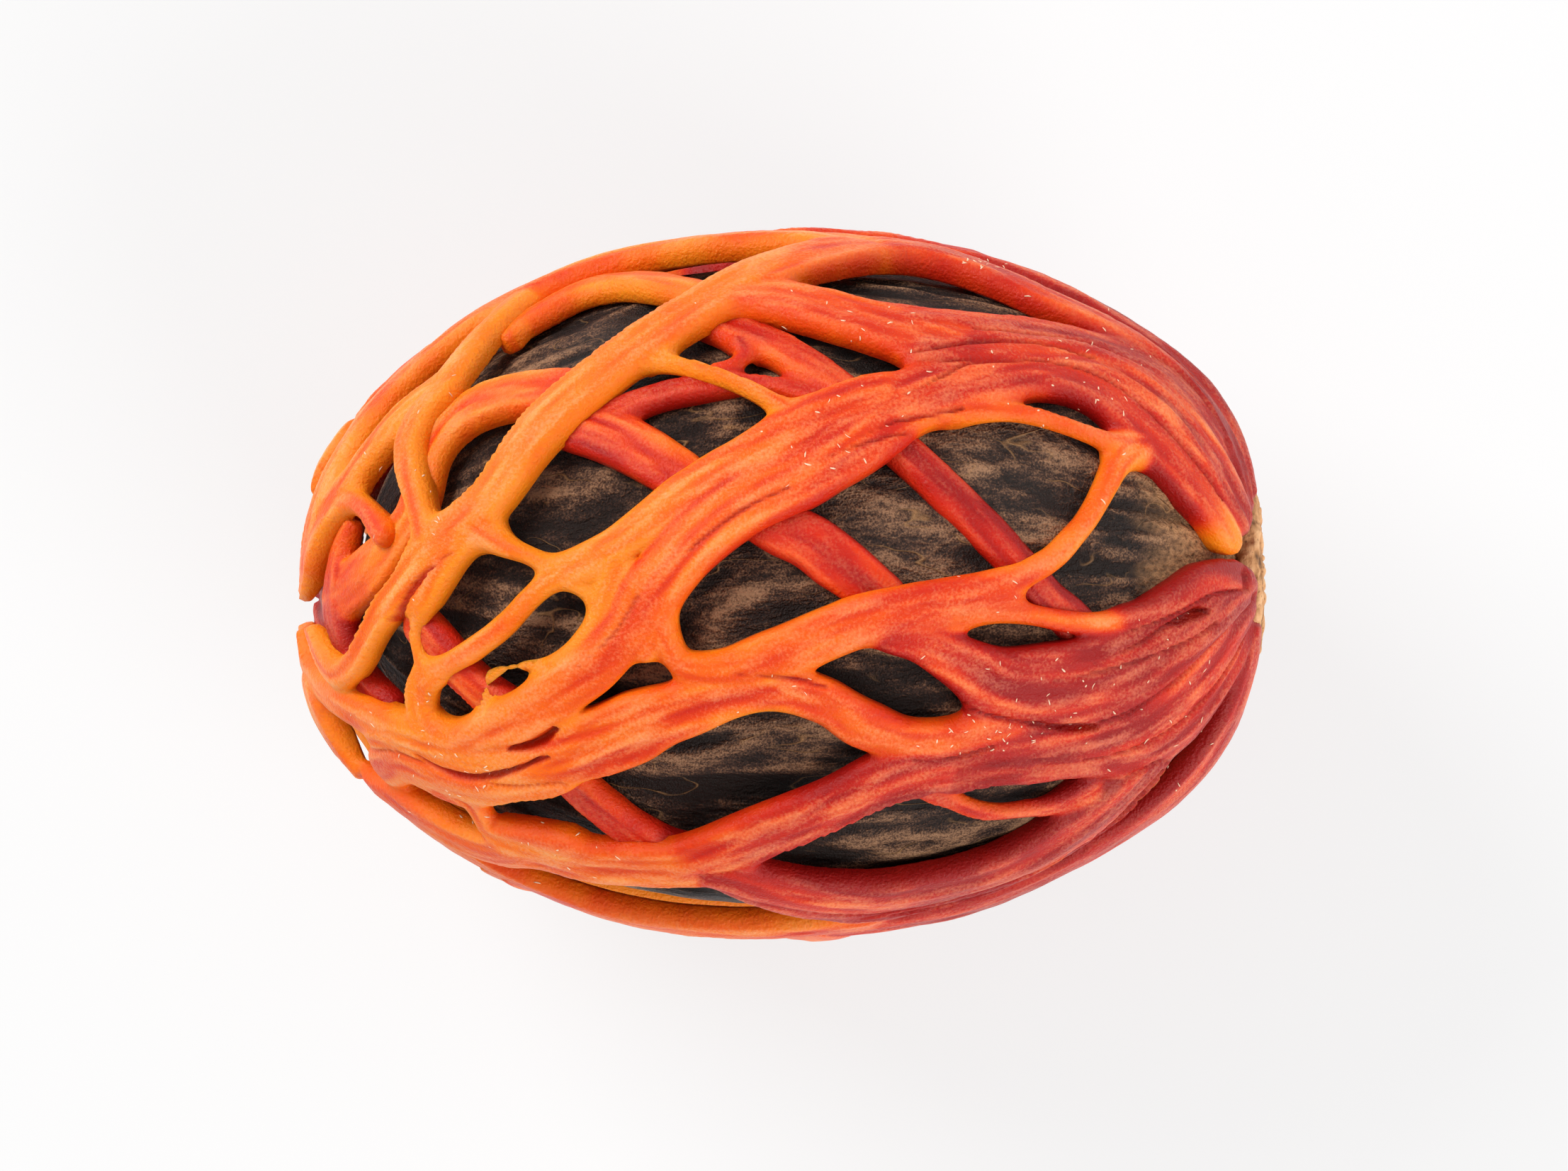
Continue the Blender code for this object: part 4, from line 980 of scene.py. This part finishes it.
def set_stage():
    """A pale floor lit from below and above, soft studio light from the upper left, and the camera."""
    stage = bpy.context.scene.nutmeg_stage
    bm = bmesh.new()
    bmesh.ops.create_grid(bm, x_segments=1, y_segments=1, size=1.5)
    mesh = bpy.data.meshes.new("floor")
    bm.to_mesh(mesh)
    bm.free()
    mesh.materials.append(plain_material("pale floor", (0.22, 0.22, 0.22), 0.8, stage.floor_glow))
    floor = bpy.data.objects.new("floor", mesh)
    bpy.context.scene.collection.objects.link(floor)

    centre = egg_centre() * MM
    for name, place, width, watts in (("key", (-0.34, 0.32, 0.34), 0.30, stage.key_watts),
                                      ("fill", (0.32, -0.36, 0.34), 0.40, stage.fill_watts),
                                      ("side", (0.46, 0.22, 0.16), 0.25, stage.side_watts)):
        light = bpy.data.lights.new(name, "AREA")
        light.energy = watts
        light.size = width
        lamp = bpy.data.objects.new(name, light)
        lamp.location = Vector(place)
        lamp.rotation_euler = (Vector(centre) - Vector(place)).to_track_quat("-Z", "Y").to_euler()
        bpy.context.scene.collection.objects.link(lamp)

    world = bpy.data.worlds.new("studio")
    world.use_nodes = True
    world.node_tree.nodes["Background"].inputs["Color"].default_value = (1.0, 1.0, 1.0, 1.0)
    world.node_tree.nodes["Background"].inputs["Strength"].default_value = stage.sky
    bpy.context.scene.world = world
    bpy.context.scene.view_settings.view_transform = "Standard"

    camera = bpy.data.cameras.new("camera")
    camera.lens = stage.lens
    camera.sensor_width = 36.0
    camera.clip_end = 10.0
    camera.clip_start = 0.01
    eye = bpy.data.objects.new("camera", camera)
    distance = stage.view_width * MM / camera.sensor_width * camera.lens
    eye.location = (centre[0], centre[1], centre[2] + distance)
    eye.rotation_euler = (0, 0, -stage.roll)
    bpy.context.scene.collection.objects.link(eye)
    bpy.context.scene.camera = eye


# ---------------------------------------------------------------- settings
class NutmegNet(bpy.types.PropertyGroup):
    """Sizes of the net."""
    skin_long: bpy.props.FloatProperty(name="Half length", description="Half the net's length, in mm", default=16.4)
    skin_round: bpy.props.FloatProperty(name="Half girth", description="Half the net's thickness, in mm",
                                        default=12.05)
    outer_thick: bpy.props.FloatProperty(name="Strand thickness", description="Of the outer strands, in mm",
                                         default=0.9)
    inner_depth: bpy.props.FloatProperty(name="Inner depth", description="How deep the red strands lie, in mm",
                                         default=0.5)
    inner_thick: bpy.props.FloatProperty(name="Inner thickness", description="Of the red strands, in mm",
                                         default=0.78)
    edge_radius: bpy.props.FloatProperty(name="Edge radius", description="Rounding of strand edges, in mm",
                                         default=0.24)
    corner_sharpness: bpy.props.FloatProperty(
        name="Corner sharpness", description="How tight the webs between strands are, per mm", default=5.5)
    turn_below: bpy.props.FloatProperty(
        name="Turn of the underside", description="Degrees by which the underside's strands are turned",
        default=168.0)
    fineness: bpy.props.IntProperty(name="Fineness", description="Times the skin is divided", default=8, max=8)


class NutmegSeed(bpy.types.PropertyGroup):
    """Sizes of the seed."""
    scar_side: bpy.props.FloatProperty(name="Length, scar side", description="From the middle, in mm", default=15.6)
    tip_side: bpy.props.FloatProperty(name="Length, tip side", description="From the middle, in mm", default=14.2)
    half_girth: bpy.props.FloatProperty(name="Half girth", description="In mm", default=10.7)
    around: bpy.props.IntProperty(name="Divisions round", description="Points round the girth", default=560)
    along: bpy.props.IntProperty(name="Divisions along", description="Points from end to end", default=170)
    cork_start: bpy.props.FloatProperty(name="Cork start", description="Where the shell turns tan, in mm",
                                        default=11.8)
    scar_radius: bpy.props.FloatProperty(name="Scar radius", description="In mm", default=2.9)
    scar_thick: bpy.props.FloatProperty(name="Scar thickness", description="In mm", default=1.3)
    scar_reach: bpy.props.FloatProperty(name="Scar reach", description="From the centre, in mm", default=16.2)


class NutmegLooks(bpy.types.PropertyGroup):
    """Colours of the materials."""
    aril_yellow: bpy.props.FloatVectorProperty(name="Aril, yellow end", description="Colour of the palest tips",
                                               subtype="COLOR", size=3, default=(0.95, 0.25, 0.008))
    aril_crimson: bpy.props.FloatVectorProperty(name="Aril, crimson end", description="Colour of the reddest folds",
                                                subtype="COLOR", size=3, default=(0.33, 0.005, 0.004))
    # Strength of the outer faces' paleness: partly a dusty bloom, partly painted sheen.
    bloom_and_sheen_strength: bpy.props.FloatProperty(name="Bloom and sheen", description="How pale the outer faces are", default=0.27)
    glow_through: bpy.props.FloatProperty(name="Glow through", description="Share of the light that passes in",
                                          default=0.4)
    # Colour of the painted glints, pale slivers that stand in for highlights.
    glint_colour: bpy.props.FloatVectorProperty(name="Glints", description="Colour of the painted glints", subtype="COLOR",
                                         size=3, default=(0.90, 0.62, 0.42))
    shell_dark: bpy.props.FloatVectorProperty(name="Shell, furrows", description="Colour in the furrows",
                                              subtype="COLOR", size=3, default=(0.012, 0.006, 0.004))
    shell_brown: bpy.props.FloatVectorProperty(name="Shell, ridges", description="Colour of the ridges",
                                               subtype="COLOR", size=3, default=(0.135, 0.066, 0.036))
    vein_tan: bpy.props.FloatVectorProperty(name="Veins", description="Colour of the thin veins",
                                            subtype="COLOR", size=3, default=(0.42, 0.22, 0.09))
    cork: bpy.props.FloatVectorProperty(name="Cork", description="Colour of the scar", subtype="COLOR", size=3,
                                        default=(0.64, 0.32, 0.14))


class NutmegStage(bpy.types.PropertyGroup):
    """Light and view."""
    view_width: bpy.props.FloatProperty(name="View width", description="Width seen at the centre, in mm",
                                        default=52.7)
    lens: bpy.props.FloatProperty(name="Lens", description="Focal length, in mm", default=400.0)
    roll: bpy.props.FloatProperty(name="Roll", description="Turn of the camera", subtype="ANGLE",
                                  default=math.radians(1.75))
    key_watts: bpy.props.FloatProperty(name="Key light", description="In watts", default=2.8)
    fill_watts: bpy.props.FloatProperty(name="Fill light", description="In watts", default=2.4)
    side_watts: bpy.props.FloatProperty(name="Side light", description="In watts", default=0.7)
    sky: bpy.props.FloatProperty(name="Sky", description="Strength of the even light", default=0.46)
    floor_glow: bpy.props.FloatProperty(name="Floor glow", description="Light from below the floor", default=0.68)


# ---------------------------------------------------------------- operators and panel
class NUTMEG_OT_outer_net(bpy.types.Operator):
    """Builds the outer strands of the upper side"""
    bl_idname = "nutmeg.outer_net"
    bl_label = "Outer net"

    def execute(self, context):
        make_outer_net()
        return {"FINISHED"}


class NUTMEG_OT_inner_net(bpy.types.Operator):
    """Builds the deeper, redder strands of the upper side"""
    bl_idname = "nutmeg.inner_net"
    bl_label = "Inner strands"

    def execute(self, context):
        make_inner_net()
        return {"FINISHED"}


class NUTMEG_OT_net_below(bpy.types.Operator):
    """Builds the outer and the inner strands of the underside"""
    bl_idname = "nutmeg.net_below"
    bl_label = "Underside of the net"

    def execute(self, context):
        make_net_below()
        make_inner_net_below()
        return {"FINISHED"}


class NUTMEG_OT_seed(bpy.types.Operator):
    """Builds the seed in its woody shell"""
    bl_idname = "nutmeg.seed"
    bl_label = "Seed"

    def execute(self, context):
        make_seed()
        return {"FINISHED"}


class NUTMEG_OT_scar(bpy.types.Operator):
    """Builds the corky scar"""
    bl_idname = "nutmeg.scar"
    bl_label = "Scar"

    def execute(self, context):
        make_scar()
        return {"FINISHED"}


class NUTMEG_OT_painted_glints(bpy.types.Operator):
    """Scatters the painted glints over the strands: pale slivers that stand in for highlights"""
    bl_idname = "nutmeg.flecks"
    bl_label = "Painted glints"

    def execute(self, context):
        make_painted_glints()
        return {"FINISHED"}


class NUTMEG_OT_stage(bpy.types.Operator):
    """Sets the floor, the lights and the camera"""
    bl_idname = "nutmeg.stage"
    bl_label = "Stage"

    def execute(self, context):
        set_stage()
        return {"FINISHED"}


class NUTMEG_PT_sidebar(bpy.types.Panel):
    """Lists the sizes and the pieces"""
    bl_idname = "NUTMEG_PT_sidebar"
    bl_label = "Nutmeg with mace"
    bl_space_type = "VIEW_3D"
    bl_region_type = "UI"
    bl_category = "Nutmeg"

    def draw(self, context):
        for group in SETTINGS:
            box = self.layout.box()
            for name in SETTINGS[group].__annotations__:
                box.prop(getattr(context.scene, group), name)
        for operator in OPERATORS:
            self.layout.operator(operator.bl_idname)


SETTINGS = {"nutmeg_net": NutmegNet, "nutmeg_seed": NutmegSeed, "nutmeg_looks": NutmegLooks,
            "nutmeg_stage": NutmegStage}
OPERATORS = (NUTMEG_OT_outer_net, NUTMEG_OT_inner_net, NUTMEG_OT_net_below, NUTMEG_OT_seed, NUTMEG_OT_scar,
             NUTMEG_OT_painted_glints, NUTMEG_OT_stage)


def register():
    for group, kind in SETTINGS.items():
        bpy.utils.register_class(kind)
        setattr(bpy.types.Scene, group, bpy.props.PointerProperty(type=kind))
    for kind in (*OPERATORS, NUTMEG_PT_sidebar):
        bpy.utils.register_class(kind)


def unregister():
    for kind in (NUTMEG_PT_sidebar, *reversed(OPERATORS)):
        bpy.utils.unregister_class(kind)
    for group, kind in SETTINGS.items():
        delattr(bpy.types.Scene, group)
        bpy.utils.unregister_class(kind)


def main():
    register()
    bpy.ops.nutmeg.outer_net()
    bpy.ops.nutmeg.inner_net()
    bpy.ops.nutmeg.net_below()
    bpy.ops.nutmeg.seed()
    bpy.ops.nutmeg.scar()
    bpy.ops.nutmeg.flecks()
    bpy.ops.nutmeg.stage()


if __name__ == "__main__":
    main()
